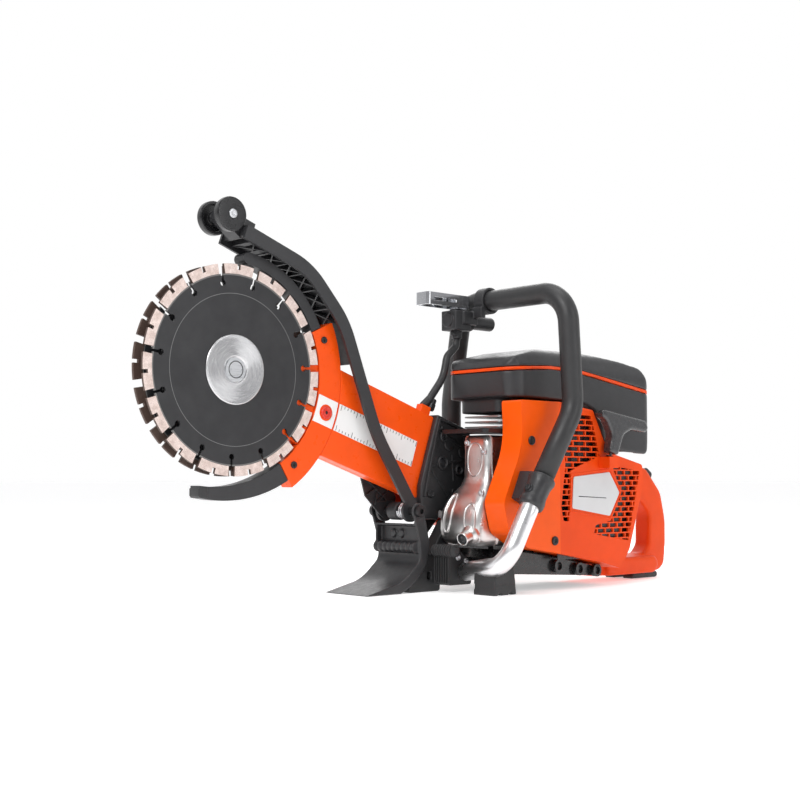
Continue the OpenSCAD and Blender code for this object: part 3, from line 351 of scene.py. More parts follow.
def diamond_bond():
    """Sintered bond: pinkish grey with hard specks of diamond and pits, and painted shade on all but its
    outward faces.
    """
    material, tree, shader = new_material("diamond_bond")
    patches = ramp(tree, noise(tree, 160), (0.60, 0.47, 0.42), (0.82, 0.69, 0.64))
    specks = noise(tree, 1900, 2)
    dark = ramp(tree, specks, (0.18, 0.13, 0.11), (1, 1, 1), 0.34, 0.44)
    bond = mix(tree, 0.8, patches, dark, "MULTIPLY")
    # Painted shade: the bond's ends, rim and inner faces are painted dark brown, only its outward faces keep
    # the bond's colour
    facing = tree.nodes.new("ShaderNodeNewGeometry").outputs["Normal"]
    normal = node(tree, "ShaderNodeSeparateXYZ", Vector=facing)
    place = node(tree, "ShaderNodeSeparateXYZ", Vector=coordinates(tree))
    side = maths(tree, "SUBTRACT", place.outputs["Y"], MIDDLE_Y)
    outward = maths(tree, "MULTIPLY", side, normal.outputs["Y"])
    ground = between(tree, outward, OUTER_FACE, 1)
    tree.links.new(mix(tree, ground, (0.075, 0.045, 0.034), bond), shader.inputs["Base Color"])
    shader.inputs["Roughness"].default_value = 0.62
    tree.links.new(bump(tree, specks, 0.6, 0.0002), shader.inputs["Normal"])
    return material


def brushed(name, color, roughness, stretch=(40, 1600, 1600)):
    """Bright metal with marks drawn out along one direction."""
    material, tree, shader = new_material(name)
    mapping = node(tree, "ShaderNodeMapping", Scale=stretch)
    tree.links.new(coordinates(tree), mapping.inputs["Vector"])
    marks = noise(tree, 1, 4, mapping.outputs["Vector"])
    tree.links.new(ramp(tree, marks, shade(color, 0.85), shade(color, 1.1)), shader.inputs["Base Color"])
    tree.links.new(spread(tree, marks, roughness - 0.05, roughness + 0.1), shader.inputs["Roughness"])
    tree.links.new(bump(tree, marks, 0.12, 0.00005), shader.inputs["Normal"])
    shader.inputs["Metallic"].default_value = 1
    return material


ORANGE = (0.90, 0.088, 0.005)
# Painted light: the front and the side covers share one orange; the front's copy is painted lighter where
# light falls on it and the covers' copy darker for their shaded sides
COVER_ORANGE_SHADED = (0.80, 0.066, 0.003)
FRONT_ORANGE_LIT = (0.90, 0.098, 0.002)

M = {
    "blade_steel": blade_steel(),
    "diamond": diamond_bond(),
    "turned_aluminium": turned_metal("turned_aluminium", (0.66, 0.66, 0.67), 0.24),
    "zinc_steel": brushed("zinc_steel", (0.62, 0.63, 0.65), 0.3),
    "black_steel": surface("black_steel", (0.035, 0.035, 0.037), 0.38, 0.6, grain=(1800, 0.12)),
    "shaft_steel": brushed("shaft_steel", (0.55, 0.55, 0.56), 0.25, (1600, 40, 1600)),
    "arm_orange": surface("arm_orange", ORANGE, 0.32, coat=0.12,
        grain=(700, 0.05), mottle=0.04, shine=0.22),
    "cover_orange": surface("cover_orange", COVER_ORANGE_SHADED, 0.40,
        grain=(2200, 0.08), mottle=0.04, shine=0.2),
    "front_orange": surface("front_orange", FRONT_ORANGE_LIT, 0.34, coat=0.05,
        grain=(2200, 0.08), mottle=0.04, shine=0.22),
    "dark_plastic": surface("dark_plastic", (0.026, 0.026, 0.028), 0.40, grain=(2300, 0.30), mottle=0.10),
    "black_plastic": surface("black_plastic", (0.011, 0.011, 0.012), 0.28, coat=0.2,
        grain=(1500, 0.08), mottle=0.10),
    "dark_casting": surface("dark_casting", (0.032, 0.032, 0.034), 0.46, 0.3,
        grain=(900, 0.5), mottle=0.16),
    "rubber": surface("rubber", (0.024, 0.024, 0.025), 0.46, grain=(1400, 0.4), mottle=0.12),
    "decal": surface("decal", (0.84, 0.84, 0.83), 0.35, coat=0.3, grain=(400, 0.03), mottle=0.02),
    "label": surface("label", (0.66, 0.665, 0.67), 0.36, 0.4, grain=(900, 0.03), mottle=0.02),
    "muffler_steel": surface("muffler_steel", (0.70, 0.69, 0.68), 0.33, 1.0,
        grain=(350, 0.03), mottle=0.08, patch=30),
    "cast_aluminium": surface("cast_aluminium", (0.50, 0.50, 0.50), 0.42, 0.9,
        grain=(1100, 0.5), mottle=0.1),
    "ceramic": surface("ceramic", (0.82, 0.81, 0.78), 0.2, coat=0.6, grain=(300, 0.03), mottle=0.03),
    "paper": surface("paper", (0.74, 0.63, 0.42), 0.8, grain=(3000, 0.3), mottle=0.06),
    "bare_tube": surface("bare_tube", (0.86, 0.86, 0.87), 0.30, 1.0,
        grain=(900, 0.02), mottle=0.02, swing=0.03),
    "chrome": surface("chrome", (0.80, 0.81, 0.83), 0.12, 1.0, grain=(300, 0.03), mottle=0.03, swing=0.04),
    "gloss_plastic": surface("gloss_plastic", (0.040, 0.040, 0.042), 0.26, coat=0.4,
        grain=(1500, 0.06), mottle=0.08),
    "grip_rubber": surface("grip_rubber", (0.024, 0.024, 0.025), 0.44, grain=(1300, 0.45), mottle=0.10),
    "ink": surface("ink", (0.03, 0.03, 0.035), 0.5, grain=(900, 0.05)),
    "rope": surface("rope", (0.10, 0.10, 0.10), 0.8, grain=(1800, 0.6)),
    "red_plastic": surface("red_plastic", (0.68, 0.03, 0.015), 0.32, coat=0.2, grain=(1800, 0.1)),
    "blue_plastic": surface("blue_plastic", (0.05, 0.14, 0.55), 0.32, coat=0.2, grain=(1800, 0.1)),
}

# ---- Mesh tools ----


def add_mesh(name, points, faces, material, body, slot_name=None, smooth=True):
    """A new piece of the object, given by points in the row frame."""
    data = bpy.data.meshes.new(name)
    data.from_pydata([tuple(p) for p in points], [], faces)
    data.update()
    piece = bpy.data.objects.new(name, data)
    bpy.context.scene.collection.objects.link(piece)
    data.materials.append(M[material])
    data.polygons.foreach_set("use_smooth", [smooth] * len(data.polygons))
    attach(piece, body)
    return piece


class Shape:
    """Points and faces of one mesh, gathered from several closed lofts."""

    def __init__(self):
        self.points, self.faces = [], []

    def loft(self, rings, capped=True, closed=False):
        """Skins a row of rings, which all have the same number of points."""
        first, n = len(self.points), len(rings[0])
        for ring in rings:
            self.points += ring
        spans = len(rings) if closed else len(rings) - 1
        for i in range(spans):
            a, b = first + i * n, first + (i + 1) % len(rings) * n
            self.faces += [(a + k, a + (k + 1) % n, b + (k + 1) % n, b + k) for k in range(n)]
        if capped and not closed:
            last = first + (len(rings) - 1) * n
            self.faces.append(tuple(range(first + n - 1, first - 1, -1)))
            self.faces.append(tuple(range(last, last + n)))
        return self

    def piece(self, name, material, body, edge=0.0, **more):
        made = add_mesh(name, self.points, self.faces, material, body, **more)
        if edge:
            break_edges(made, edge)
        return made


def unit_ring(sides):
    angles = [k * math.tau / sides for k in range(sides)]
    return [(math.cos(a), math.sin(a)) for a in angles]


def hex_ring(sides=24):
    """Points on a hexagon of across-corner radius 1, spaced by angle."""
    flat = math.cos(math.pi / 6)
    ring = []
    for k in range(sides):
        a = k * math.tau / sides
        ring.append((a, flat / math.cos((a + math.pi / 6) % (math.pi / 3) - math.pi / 6)))
    return [(r * math.cos(a), r * math.sin(a)) for a, r in ring]


def frame_of(axis):
    """Two directions square to the axis."""
    axis = Vector(axis).normalized()
    u = axis.cross(Vector((0, 0, 1) if abs(axis.z) < 0.9 else (1, 0, 0))).normalized()
    return axis, u, axis.cross(u)


def turned_rings(place, axis, profile, sides=24):
    """Rings of a turned piece: profile holds (distance along the axis, radius[, hexagon]) in millimetres."""
    axis, u, v = frame_of(axis)
    rings = []
    for along, radius, *form in profile:
        ring = hex_ring(sides) if form else unit_ring(sides)
        centre = Vector(place) + axis * along * MM
        rings.append([centre + (u * a + v * b) * radius * MM for a, b in ring])
    return rings


def screw(shape, place, axis, r, high=2.2):
    """Hex socket screw: a domed head with a hexagon sunk in it."""
    shape.loft(turned_rings(place, axis, [
        (-0.6, r), (high * 0.6, r), (high * 0.9, r * 0.93), (high, r * 0.8), (high, r * 0.58, "hex"),
        (high * 0.95, r * 0.54, "hex"), (high * 0.1, r * 0.5, "hex")]))


def bent(points, steps=8):
    """Open path in millimetres, with each inner corner (x, y, z, radius) rounded."""
    path = [Vector(points[0][:3])]
    for before, here, after in zip(points, points[1:], points[2:]):
        b, r = Vector(here[:3]), here[3]
        u, w = (Vector(before[:3]) - b).normalized(), (Vector(after[:3]) - b).normalized()
        half = math.acos(max(-1, min(1, u.dot(w)))) / 2
        centre = b + (u + w).normalized() * r / math.sin(half)
        start, end = (b + u * r / math.tan(half) - centre), (b + w * r / math.tan(half) - centre)
        path += [centre + (start.lerp(end, k / steps)).normalized() * r for k in range(steps + 1)]
    return path + [Vector(points[-1][:3])]


def tube_rings(path, radius, sides=28):
    """Rings along a path in millimetres. radius is a number or a function of the share of the path."""
    rings = []
    side = frame_of(path[1] - path[0])[1]
    for i, p in enumerate(path):
        d = (path[min(i + 1, len(path) - 1)] - path[max(i - 1, 0)]).normalized()
        side = (side - d * side.dot(d)).normalized()
        other = d.cross(side)
        r = radius(i / (len(path) - 1)) if callable(radius) else radius
        rings.append([at(*(p + (side * a + other * b) * r)) for a, b in unit_ring(sides)])
    return rings


BLEND_FACTOR = 0.5


def applied(piece):
    """Turns the piece's modifiers into its mesh."""
    data = bpy.data.meshes.new_from_object(piece.evaluated_get(bpy.context.evaluated_depsgraph_get()))
    data.name = piece.name
    piece.modifiers.clear()
    piece.data = data
    data.polygons.foreach_set("use_smooth", [True] * len(data.polygons))


def soften(name, voxel, rounds):
    """A moulded or cast stand-in for a CAD node: the same solid with its edges and inner corners blended."""
    source = nodes[name]
    piece = bpy.data.objects.new(f"{name}_moulding", source.data.copy())
    bpy.context.scene.collection.objects.link(piece)
    remesh = piece.modifiers.new("even", "REMESH")
    remesh.mode = "VOXEL"
    remesh.voxel_size = voxel * MM
    blend = piece.modifiers.new("blend", "SMOOTH")
    blend.factor = BLEND_FACTOR
    blend.iterations = rounds
    bpy.context.view_layer.update()
    applied(piece)
    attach(piece, source["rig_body"])
    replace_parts(piece, name)


# ---- The CAD frame's own pieces: a finish, and edges broken as the real ones are ----

SLOT_OF = {row["node"]: row["material_slot"] for row in frame["record"]["subparts"]}
NO_BREAK = {
    "ruler_decal", "label_plate", "guard_spring", "handle_tube", "handle_grip", "water_hose",
    "filter_stripe",
}
EDGE = {
    # node: width of its rounded edges in millimetres
    "near_blade": 0.15, "far_blade": 0.15, "diamond_segments": 0.3, "arm_body": 0.8, "arm_lid": 0.8,
    "crescent_guard": 0.8, "guard_frame": 0.7, "guard_wheels": 0.7, "splash_shoe": 0.6,
    "rear_handle": 4, "starter_cover": 1.2, "cylinder_cover": 2, "handle_clamp": 1.5, "valve_lever": 0.5,
}
USUAL_EDGE = 0.5
# Nodes whose finish differs from their slot's usual one
FINISH = {"pivot_bolt": "black_steel", "starter_handle": "gloss_plastic"}
EDGE_LIMIT = math.radians(32)
EDGE_SEGMENTS = 2
WELD_DISTANCE = 0.00001
NORMAL_WEIGHT = 80


def break_edges(piece, width):
    """Rounds every sharp edge a little, and keeps the flats flat."""
    weld = piece.modifiers.new("weld", "WELD")
    weld.merge_threshold = WELD_DISTANCE
    if width:
        bevel = piece.modifiers.new("edges", "BEVEL")
        bevel.width = width * MM
        bevel.segments = EDGE_SEGMENTS
        bevel.limit_method = "ANGLE"
        bevel.angle_limit = EDGE_LIMIT
    piece.modifiers.new("normals", "WEIGHTED_NORMAL").weight = NORMAL_WEIGHT
    piece.data.polygons.foreach_set("use_smooth", [True] * len(piece.data.polygons))


def dress_frame():
    for name, piece in nodes.items():
        piece.data.materials.clear()
        piece.data.materials.append(M[FINISH.get(name, SLOT_OF[name])])
        break_edges(piece, 0 if name in NO_BREAK else EDGE.get(name, USUAL_EDGE))


# ---- Moulded and cast pieces ----

SOFT = {
    # node: (voxel in millimetres, rounds of blending)
    "filter_cover": (1.8, 14),
    "filter_housing": (1.6, 8),
    "rear_handle": (1.6, 26),
    "starter_handle": (1.0, 28),
    "arm_mount": (1.4, 4),
    "valve_body": (0.9, 3),
    "rubber_feet": (1.2, 3),
    "front_support": (1.2, 3),
    "splash_shoe": (0.9, 4),
}


def make_moulded_pieces():
    for name, (voxel, rounds) in SOFT.items():
        soften(name, voxel, rounds)


# ---- Front handle: tube and sleeve on one smooth route ----

HANDLE = [
    # X, Y, Z and radius of each bend, in millimetres
    (-400, -60, 50, 0), (-400, -60, 236, 60), (-384, -22, 361, 40), (-378, HANDLE_Y, 360, 38),
    (-388, HANDLE_Y, 218, 50), (-304, HANDLE_Y, 95, 60), (-277, 150, 36, 30), (-302, 62, 24, 0),
]
SLEEVE = [(-400, -60, 110, 0), *HANDLE[1:5], (-329.7, HANDLE_Y, 132.6, 0)]
BEND_STEPS = 14
TUBE_R = 11.3
SLEEVE_R = 12.8


def make_front_handle():
    tube = Shape().loft(tube_rings(bent(HANDLE, BEND_STEPS), TUBE_R))
    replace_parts(tube.piece("handle_tube_bent", "bare_tube", "machine"), "handle_tube")
    path = bent(SLEEVE, BEND_STEPS)
    rings = tube_rings(path, SLEEVE_R, 32)
    # A thin rolled lip closes each end of the sleeve on the tube
    lips = [tube_rings(path, TUBE_R + 0.1, 32)[i] for i in (0, -1)]
    sleeve = Shape().loft([lips[0], *rings, lips[1]], capped=False)
    grip = sleeve.piece("handle_sleeve", "grip_rubber", "machine", slot_name="dark_plastic")
    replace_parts(grip, "handle_grip")


# ---- Muffler, clamp, mount and buffer ----

MUFFLER = [
    # Z, front X, near and far side of each section, in millimetres
    (54.5, -300, 40, 90), (57, -289, 33, 95), (64, -284.5, 29, 97.5), (74, -283, 28, 98), (86, -284, 28, 98),
    (98, -287, 29, 98), (109, -293, 32, 97), (118, -300, 37, 95), (127, -307, 43, 92), (138, -311, 46, 90),
    (155, -312.5, 47, 89), (172, -313, 47, 89), (184, -313.5, 47.5, 88.5), (187, -315.5, 50, 86),
]
MUFFLER_BACK = -348
MUFFLER_SEAM = (-321, -318.5)
MUFFLER_BEADS = [
    # Y and Z of the middle, half width, half height, lean, lift and radius of the bead
    (48, 93, 6, 23, 0.05, -0.4, 1.7), (84, 88, 8, 17, -0.12, -0.5, 1.5), (67, 158, 12, 20, 0, -0.5, 1.3),
]
OUTLET_AXIS = (0.93, 0.1, -0.28)


def blunt_ring(x0, x1, y0, y1, z, power=4.5, sides=48):
    """A level ring between box and ellipse."""
    ring = []
    for a, b in unit_ring(sides):
        fx, fy = abs(a) ** (2 / power), abs(b) ** (2 / power)
        ring.append(at((x0 + x1) / 2 + math.copysign(fx, a) * (x1 - x0) / 2,
                       (y0 + y1) / 2 + math.copysign(fy, b) * (y1 - y0) / 2, z))
    return ring


def loop_rings(path, radius, sides=8):
    """Rings round a closed path in millimetres."""
    rings = []
    out = Vector((1, 0, 0))
    for before, here, after in zip(path[-1:] + path[:-1], path, path[1:] + path[:1]):
        side = (after - before).normalized().cross(out).normalized()
        rings.append([at(*(here + (side * a + out * b) * radius)) for a, b in unit_ring(sides)])
    return rings


def muffler_front(z):
    """Front face of the muffler at a height."""
    for (z0, x0, *_), (z1, x1, *_) in zip(MUFFLER, MUFFLER[1:]):
        if z0 <= z <= z1:
            return x0 + (x1 - x0) * (z - z0) / (z1 - z0)
    return MUFFLER[-1][1]


def oval_path(y, z, half_y, half_z, lean, lift, steps=40):
    """A stadium on the muffler's front face, leaning to the near side as it goes up."""
    path = []
    for a, b in unit_ring(steps):
        up = math.copysign(abs(b) ** 0.8, b) * half_z
        height = z + up
        path.append(Vector((muffler_front(height) + lift, y + a * half_y + up * lean, height)))
    return path


def make_muffler():
    body = Shape().loft([blunt_ring(MUFFLER_BACK, x, y0, y1, z) for z, x, y0, y1 in MUFFLER])
    shell = body.piece("muffler_shell", "muffler_steel", "machine")
    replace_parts(shell, "muffler")
    pressed = Shape()
    # Seam where the two stamped halves are rolled together
    seam = [(y0 - 2.2, z) for z, _, y0, _ in MUFFLER] + [(y1 + 1.2, z) for z, _, _, y1 in reversed(MUFFLER)]
    pressed.loft([[at(x, y, z) for y, z in seam] for x in MUFFLER_SEAM])
    # Beads pressed into the front half
    for *oval, radius in MUFFLER_BEADS:
        pressed.loft(loop_rings(oval_path(*oval), radius), closed=True)
    # Outlet stub
    pressed.loft(turned_rings(at(-286, 84, 68), OUTLET_AXIS, [
        (-4, 12), (0, 11.6), (2, 10), (4, 8.2), (15, 7.8), (15.6, 7.2), (15.2, 6.5), (2, 6.2)]))
    pressed.piece("muffler_pressings", "muffler_steel", "machine", edge=0.4)
    bolts = Shape()
    for y, z in ((82, 167), (54, 178), (90, 118)):
        screw(bolts, at(muffler_front(z) - 0.3, y, z), (1, 0, 0), 4)
    bolts.piece("muffler_bolts", "zinc_steel", "machine")
    # A dark disc inside the bore: painted shade for its depth
    hole = Shape().loft(turned_rings(at(-275, 85.2, 64.7), OUTLET_AXIS, [(0, 6.3), (0.4, 6.3)]))
    hole.piece("outlet_bore_shade", "ink", "machine", slot_name="muffler_steel")


CLAMP_AXIS = (0.564, 0, -0.826)
CLAMP_PLACE = (-319.7, HANDLE_Y, 118)
CLAMP_BOLT_AXIS = (0.826, 0, 0.564)
CLAMP_BLOCK_DEEP = 20


def make_clamp():
    """Rubber clamp round the handle: a flared lip on top, a waist and a block to the cover."""
    clamp = Shape().loft(turned_rings(at(*CLAMP_PLACE), CLAMP_AXIS, [
        (-20, 13.2), (-20.6, 15), (-19.5, 16.2), (-16.5, 16.4), (-13, 15.2), (-9, 14.3), (4, 14), (8, 14.6),
        (11, 15.4), (15, 15.4), (18, 14.6), (19.5, 13), (19.5, 11.4)], 40))
    clamp.loft([[at(x, y, z) for x, z in ((-338, 129), (-322, 105), (-308, 112), (-323, 144))]
                for y in (COVER_Y, COVER_Y + CLAMP_BLOCK_DEEP)])
    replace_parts(clamp.piece("clamp_rubber", "dark_plastic", "machine", edge=1.5), "handle_clamp")
    bolt = Shape()
    screw(bolt, at(-305.5, HANDLE_Y, 125), CLAMP_BOLT_AXIS, 4.2, 2)
    bolt.loft(turned_rings(at(-307, HANDLE_Y, 124), CLAMP_BOLT_AXIS, [(-3, 6), (1.2, 6), (1.6, 5.4)]))
    bolt.piece("clamp_bolt", "black_steel", "machine")


MOUNT_BOSSES = [
    # X, Z, radius of the boss and of the dark disc painted in its hole as shade
    (-305.5, 154.4, 8.5, 5.8), (-334, 145.5, 6.5, 3.8), (-307, 186, 6, 3.3),
]


def make_mount_details():
    """Rim, ribs and bosses of the cast mount's near face."""
    cast = Shape()
    rim = [(-275, 113), (-287, 158), (-301, 208), (-330, 200), (-352, 178)]
    for a, b in zip(rim, rim[1:]):
        strip(cast, a, b, 3.2, MOUNT_Y - 0.5, 2.6)
    for a, b in (((-284, 150), (-340, 158)), ((-284, 150), (-316, 112)), ((-296, 196), (-345, 172)),
                 ((-316, 112), (-350, 126)), ((-323, 164), (-325, 132))):
        strip(cast, a, b, 2.4, MOUNT_Y - 0.5, 1.7)
    for x, z, r, _ in MOUNT_BOSSES:
        cast.loft(turned_rings(at(x, MOUNT_Y, z), TOWARD, [
            (-1, r), (2.6, r), (3.2, r - 0.8), (3.2, r - 2), (0.6, r - 2.6)]))
    cast.piece("mount_ribs", "dark_casting", "machine", edge=0.5)
    # Painted shade: a dark disc in each boss's hole
    hole_shades = Shape()
    for x, z, _, r in MOUNT_BOSSES:
        hole_shades.loft(turned_rings(at(x, MOUNT_Y + 0.5, z), TOWARD, [(0, r), (0.3, r)]))
    hole_shades.piece("mount_hole_shades", "ink", "machine", slot_name="dark_casting")
    bolts = Shape()
    for x, z in ((-283, 116), (-346, 182), (-325, 119)):
        screw(bolts, at(x, MOUNT_Y, z), TOWARD, 3.6)
    bolts.piece("mount_bolts", "black_steel", "machine")
    # Round pads that cover the two sight holes of the CAD wall
    pads = Shape()
    for x, z, r in ((-318, 178, 8.5), (-342, 168, 7.5)):
        profile = [(0, r), (1.0, r), (1.5, r - 1), (1.5, r - 3)]
        pads.loft(turned_rings(at(x, MOUNT_Y - 0.4, z), TOWARD, profile))
    pads.piece("mount_pads", "dark_casting", "machine")


BUFFER_FOLDS, FOLD_PITCH = 9, 4.4


def make_buffer():
    """Ribbed rubber buffer over the front support, and its two bolts."""
    folds = []
    for k in range(BUFFER_FOLDS):
        along = k * FOLD_PITCH
        folds += [(along, 5.6), (along + 0.8, 7.4), (along + 2.6, 7.4), (along + 3.4, 5.6)]
    buffer = Shape().loft(turned_rings(at(-276, 35, 49), (0.06, 1, 0.02), [(0, 4.5), *folds, (40, 4)]))
    for y in range(39, 60, 4):
        buffer.loft([[at(-276 + dx, y + dy, z) for dx, dy in ((-1, -1), (1.6, -0.8), (1.6, 0.8), (-1, 1))]
                     for z in (11, 42)])
    buffer.piece("buffer_bellows", "rubber", "machine", edge=0.4)
    bolts = Shape()
    for x, z in ((-290, 41), (-303, 36)):
        screw(bolts, at(x, 60, z), TOWARD, 3.8)
    bolts.piece("buffer_bolts", "zinc_steel", "machine")


FOOT_X = -298
# Height, half width and how far the near side falls back, in millimetres
CHEEK = ((12, 17.2, 0), (27, 16.4, 0.8), (30.5, 14.6, 2.2))


def make_foot_cheeks():
    """Rubber that closes round the tube in the handle's foot."""
    cheeks = Shape()
    for y0, y1 in ((117, 130), (95, 104)):
        rings = []
        for z, r, d in CHEEK:
            left, right = FOOT_X - r, FOOT_X + r
            corners = ((left, y0), (right, y0), (right, y1 - d), (left, y1 - d))
            rings.append([at(x, y, z) for x, y in corners])
        cheeks.loft(rings)
    cheeks.piece("foot_cheeks", "rubber", "machine", edge=1.2)


# Outline of the painted-shade sheet behind the grille, X and Z in millimetres
GRILLE_SHADE = [(-398, 80), (-398, 214), (-455, 212), (-476, 160), (-553, 146), (-530, 36), (-400, 36)]


def make_grille_shade_sheet():
    """Flat dark sheet close behind the cover's grille: painted shade for the dark space behind it."""
    shade_sheet = Shape().loft([[at(x, y, z) for x, z in GRILLE_SHADE] for y in (121, 121.8)])
    shade_sheet.piece("grille_backing_shade", "black_plastic", "machine", smooth=False)


def make_arc_tip():
    """Rubber end of the lower arc."""
    tip = Shape()
    profile = [(44.5, 124.6), (44.5, 115.8), (41, 114.6), (33, 113.6), (33, 126.2), (40, 126)]
    tip.loft([[at(x, y, z) for x, z in profile] for y in (-9.5, 9.5)])
    tip.piece("arc_tip_rubber", "rubber", "machine", edge=1.2)


def make_hose_ends():
    """Crimped ferrule and nut at each end of the water hose."""
    ends = Shape()
    for place, axis in (((-347, 0, 325), (0.15, 0, -1)), ((-303, 0, 224), (-0.42, 0, 0.9))):
        ends.loft(turned_rings(at(*place), axis, [
            (-4, 6.2, "hex"), (3, 6.2, "hex"), (3, 5), (4, 5.2), (9, 5.2), (10, 4.8), (10, 3)]))
    ends.piece("hose_ends", "black_steel", "machine", edge=0.3)


def make_guard_foot():
    """Ribbed web of the guard's far wall under the arm."""
    web = Shape()
    outline = [(-203, 143), (-212, 114), (-236, 91), (-247, 84), (-260, 92), (-262, 112), (-252, 128)]
    web.loft([[at(x, y, z) for x, z in outline] for y in (-20.4, -18.6)])
    for a, b in (((-210, 136), (-248, 106)), ((-234, 138), (-226, 104)), ((-226, 106.5), (-258, 107.5)),
                 ((-226, 104), (-250, 122)), ((-214, 116), (-240, 132))):
        strip(web, a, b, 1.2, -19, 3.4)
    web.piece("guard_far_web", "dark_plastic", "splash_guard", edge=0.3)


# ---- Screws, tension button, decal and label ----

def on_arm(along, up, y):
    """A point of the arm: along it to the rear, and up square to it."""
    c, s = math.cos(ARM_DROP), math.sin(ARM_DROP)
    return at(-along * c - up * s, y, AXIS_Z / MM - along * s + up * c)


BUTTON = (134, 0.5)


def make_screws():
    heads = Shape()
    for x, z, y, r in (
        (-124, 293, ARM_T / 2, 4), (-81, 150, ARM_T / 2, 4),
        (-302, 198, MOUNT_Y, 4.5), (-286, 116, MOUNT_Y, 4.5),
        (-344, 180, COVER_Y, 5.5), (-385, 60, COVER_Y, 5.5),
    ):
        screw(heads, at(x, y, z), TOWARD, r)
    for x, z in ((JACK_X + 10, JACK_Z + 52), (CRANK_X + 10, CRANK_Z - 52), (JACK_X - 50, JACK_Z - 62)):
        screw(heads, at(x, BELT_GUARD_Y, z), (0, -1, 0), 5)
    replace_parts(heads.piece("screw_heads", "black_steel", "machine"), "screws")
    button = Shape().loft(turned_rings(on_arm(*BUTTON, ARM_T / 2), TOWARD, [
        (-1, 7.5), (1.4, 7.5), (2.2, 6.9), (2.4, 6.2), (2.4, 5.0), (1.6, 4.4), (1.6, 3.9), (2.4, 3.6),
        (2.4, 2.6, "hex"), (0.4, 2.3, "hex")]))
    button.piece("tension_button", "red_plastic", "machine")
    # Painted shade: a dark disc down in the button's hex socket
    socket = Shape().loft(turned_rings(on_arm(*BUTTON, ARM_T / 2 + 0.8), TOWARD, [(0, 2.4), (0.3, 2.4)]))
    socket.piece("button_socket_shade", "ink", "machine", slot_name="red_plastic")


def make_hub_details():
    """Dark ring round each blade bolt: painted shade for the groove there."""
    groove_shades = Shape()
    near_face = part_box("blade_bolts")[1].y
    for way, face in ((1, near_face), (-1, 2 * MIDDLE_Y - near_face)):
        centre = Vector((AXIS_X, face, AXIS_Z))
        groove_shades.loft(turned_rings(centre, (0, way, 0), [
            (-0.9, 8.4), (-0.1, 8.4), (0.1, 8.7), (0.1, 9.5), (-0.1, 9.8), (-0.9, 9.8)], 40), closed=True)
    groove_shades.piece("bolt_groove_shades", "black_steel", "blades")


def strip(shape, a, b, wide, y, thick):
    """A thin raised line on a face square to Y, from a to b, both (x, z) in millimetres."""
    a, b = Vector(a), Vector(b)
    side = (b - a).normalized().orthogonal() * wide / 2
    corners = [a - side, b - side, b + side, a + side]
    shape.loft([[at(c.x, y, c.y) for c in corners], [at(c.x, y + thick, c.y) for c in corners]])


RULER_LOW, RULER_HIGH = -14.5, 17.5
TICK_START, TICK_STEP, TICKS = 154, 5, 26
TICK_LONG, TICK_SHORT = 7, 3.6
INK_T = 0.00012
DECAL_TOP = ARM_T / 2 + ARM_DECAL_T


def make_ruler_ticks():
    """Tick marks along both edges of the ruler, longer at every fifth, and no figures."""
    ticks = Shape()
    for k in range(TICKS):
        along = TICK_START + k * TICK_STEP
        long = TICK_SHORT if k % 5 else TICK_LONG
        for edge, way in ((RULER_LOW, 1), (RULER_HIGH, -1)):
            ends = [on_arm(along + dx, edge + way * up, DECAL_TOP) for dx, up in
                    ((-0.35, 0.6), (0.35, 0.6), (0.35, long), (-0.35, long))]
            ticks.loft([ends, [p + Vector((0, INK_T, 0)) for p in ends]])
    ticks.piece("ruler_ticks", "ink", "machine", slot_name="black_plastic")


def make_label_lines():
    lines = Shape()
    strip(lines, (-430, 113), (-484, 110.5), 1.0, COVER_Y + 0.75, 0.2)
    lines.piece("label_line", "ink", "machine", slot_name="black_plastic")
    frame_line = Shape()
    corners = [(-417, 140), (-492.5, 146.5), (-514.5, 117), (-492.5, 84.5), (-414.5, 95)]
    for a, b in zip(corners, corners[1:] + corners[:1]):
        strip(frame_line, a, b, 1.6, COVER_Y - 0.3, 1.0)
    frame_line.piece("label_frame", "cover_orange", "machine", edge=0.3)


# ---- Splash guards ----

GUARD_PATH = [
    (-6, 0, 409, 0), (-96, 0, 377, 100), (-150, 0, 318, 120), (-199, 0, 192, 200), (-262, 0, 98, 0),
]
GUARD_IN = 20.6  # half the width between the guard's walls
RIB_START, RIB_CELL, RIB_T = 16, 27, 0.8
# How deep the ribs of each cell reach
RIB_DEPTHS = (12, 12, 12, 9.5, 9.5, 9.5)


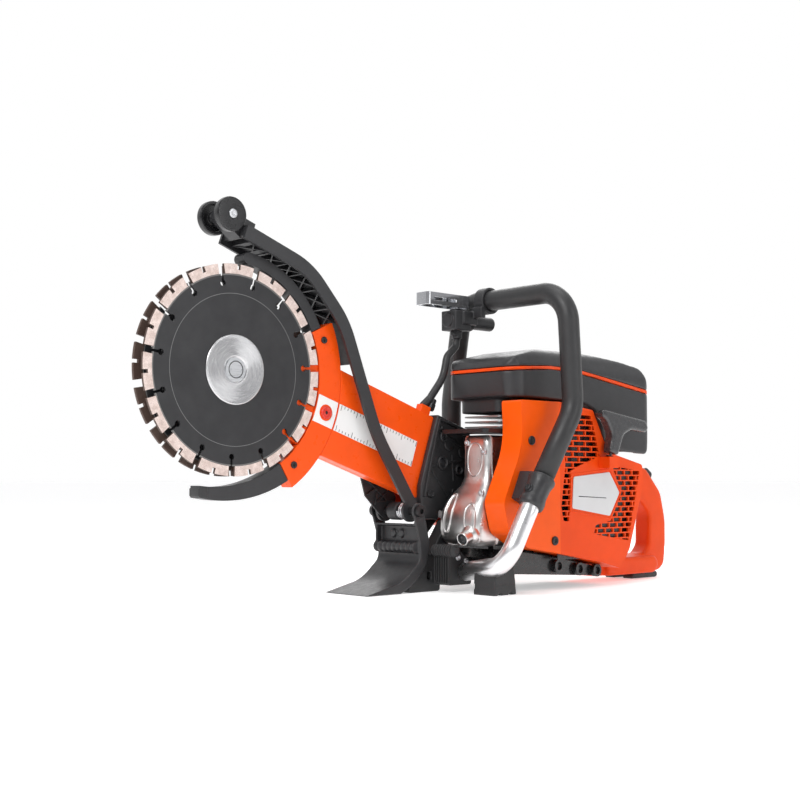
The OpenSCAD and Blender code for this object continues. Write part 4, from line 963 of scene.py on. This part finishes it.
def make_guard_ribs():
    """Thin crossed ribs under the guard's skin, as a moulding has them."""
    ribs = Shape()
    path = bent(GUARD_PATH, 16)
    lengths = [0.0]
    for a, b in zip(path, path[1:]):
        lengths.append(lengths[-1] + (b - a).length)

    def spot(distance):
        i = max(k for k in range(len(path) - 1) if lengths[k] <= distance)
        share = (distance - lengths[i]) / (lengths[i + 1] - lengths[i])
        d = (path[i + 1] - path[i]).normalized()
        return path[i].lerp(path[i + 1], share), d, Vector((-d.z, 0, d.x))

    def rib(d0, y0, d1, y1, deep):
        rings = []
        for share in (0, 0.25, 0.5, 0.75, 1):
            p, d, inward = spot(d0 + (d1 - d0) * share)
            y = y0 + (y1 - y0) * share
            across = (d * (d1 - d0) + Vector((0, y1 - y0, 0))).normalized()
            side = across.cross(inward).normalized() * RIB_T
            base = p + Vector((0, y, 0))
            rings.append([at(*(base + side + inward * 2)), at(*(base + side + inward * deep)),
                          at(*(base - side + inward * deep)), at(*(base - side + inward * 2))])
        ribs.loft(rings)

    for k, deep in enumerate(RIB_DEPTHS):
        start = RIB_START + k * RIB_CELL
        rib(start, -GUARD_IN, start + RIB_CELL, GUARD_IN, deep)
        rib(start, GUARD_IN, start + RIB_CELL, -GUARD_IN, deep)
        rib(start, -GUARD_IN, start + 0.01, GUARD_IN, deep)
    ribs.piece("guard_crossed_ribs", "dark_plastic", "splash_guard", smooth=False)


# ---- Starter rope ----

ROPE_LEAN = math.radians(25)
ROPE_GUIDE = Vector((-480, 139, 158))
ROPE_R = 1.7


def make_starter_rope():
    """The rope runs straight out of its guide towards the handle, and is taken off the machine's body."""
    guide, way = ROPE_GUIDE, Vector((-math.sin(ROPE_LEAN), 0, math.cos(ROPE_LEAN)))
    path = [guide + way * (2 + k * 1.5) for k in range(18)]
    rope = Shape().loft(tube_rings(path, ROPE_R, 12))
    rope = rope.piece("starter_rope", "rope", "machine", slot_name="rubber")
    rope.parent = None
    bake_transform(rope)
    ferrule = Shape().loft(turned_rings(at(*(guide + way * 3.2)), way, [
        (0, 5.2), (1.4, 5.2), (2.2, 4.2), (2.2, 2.6), (0.2, 2.2)]))
    ferrule.piece("rope_ferrule", "black_plastic", "machine")


make_camera()
make_light()
make_floor()
dress_frame()
make_moulded_pieces()
make_front_handle()
make_muffler()
make_clamp()
make_mount_details()
make_buffer()
make_foot_cheeks()
make_grille_shade_sheet()
make_arc_tip()
make_hose_ends()
make_guard_foot()
make_screws()
make_hub_details()
make_ruler_ticks()
make_label_lines()
make_guard_ribs()
make_starter_rope()
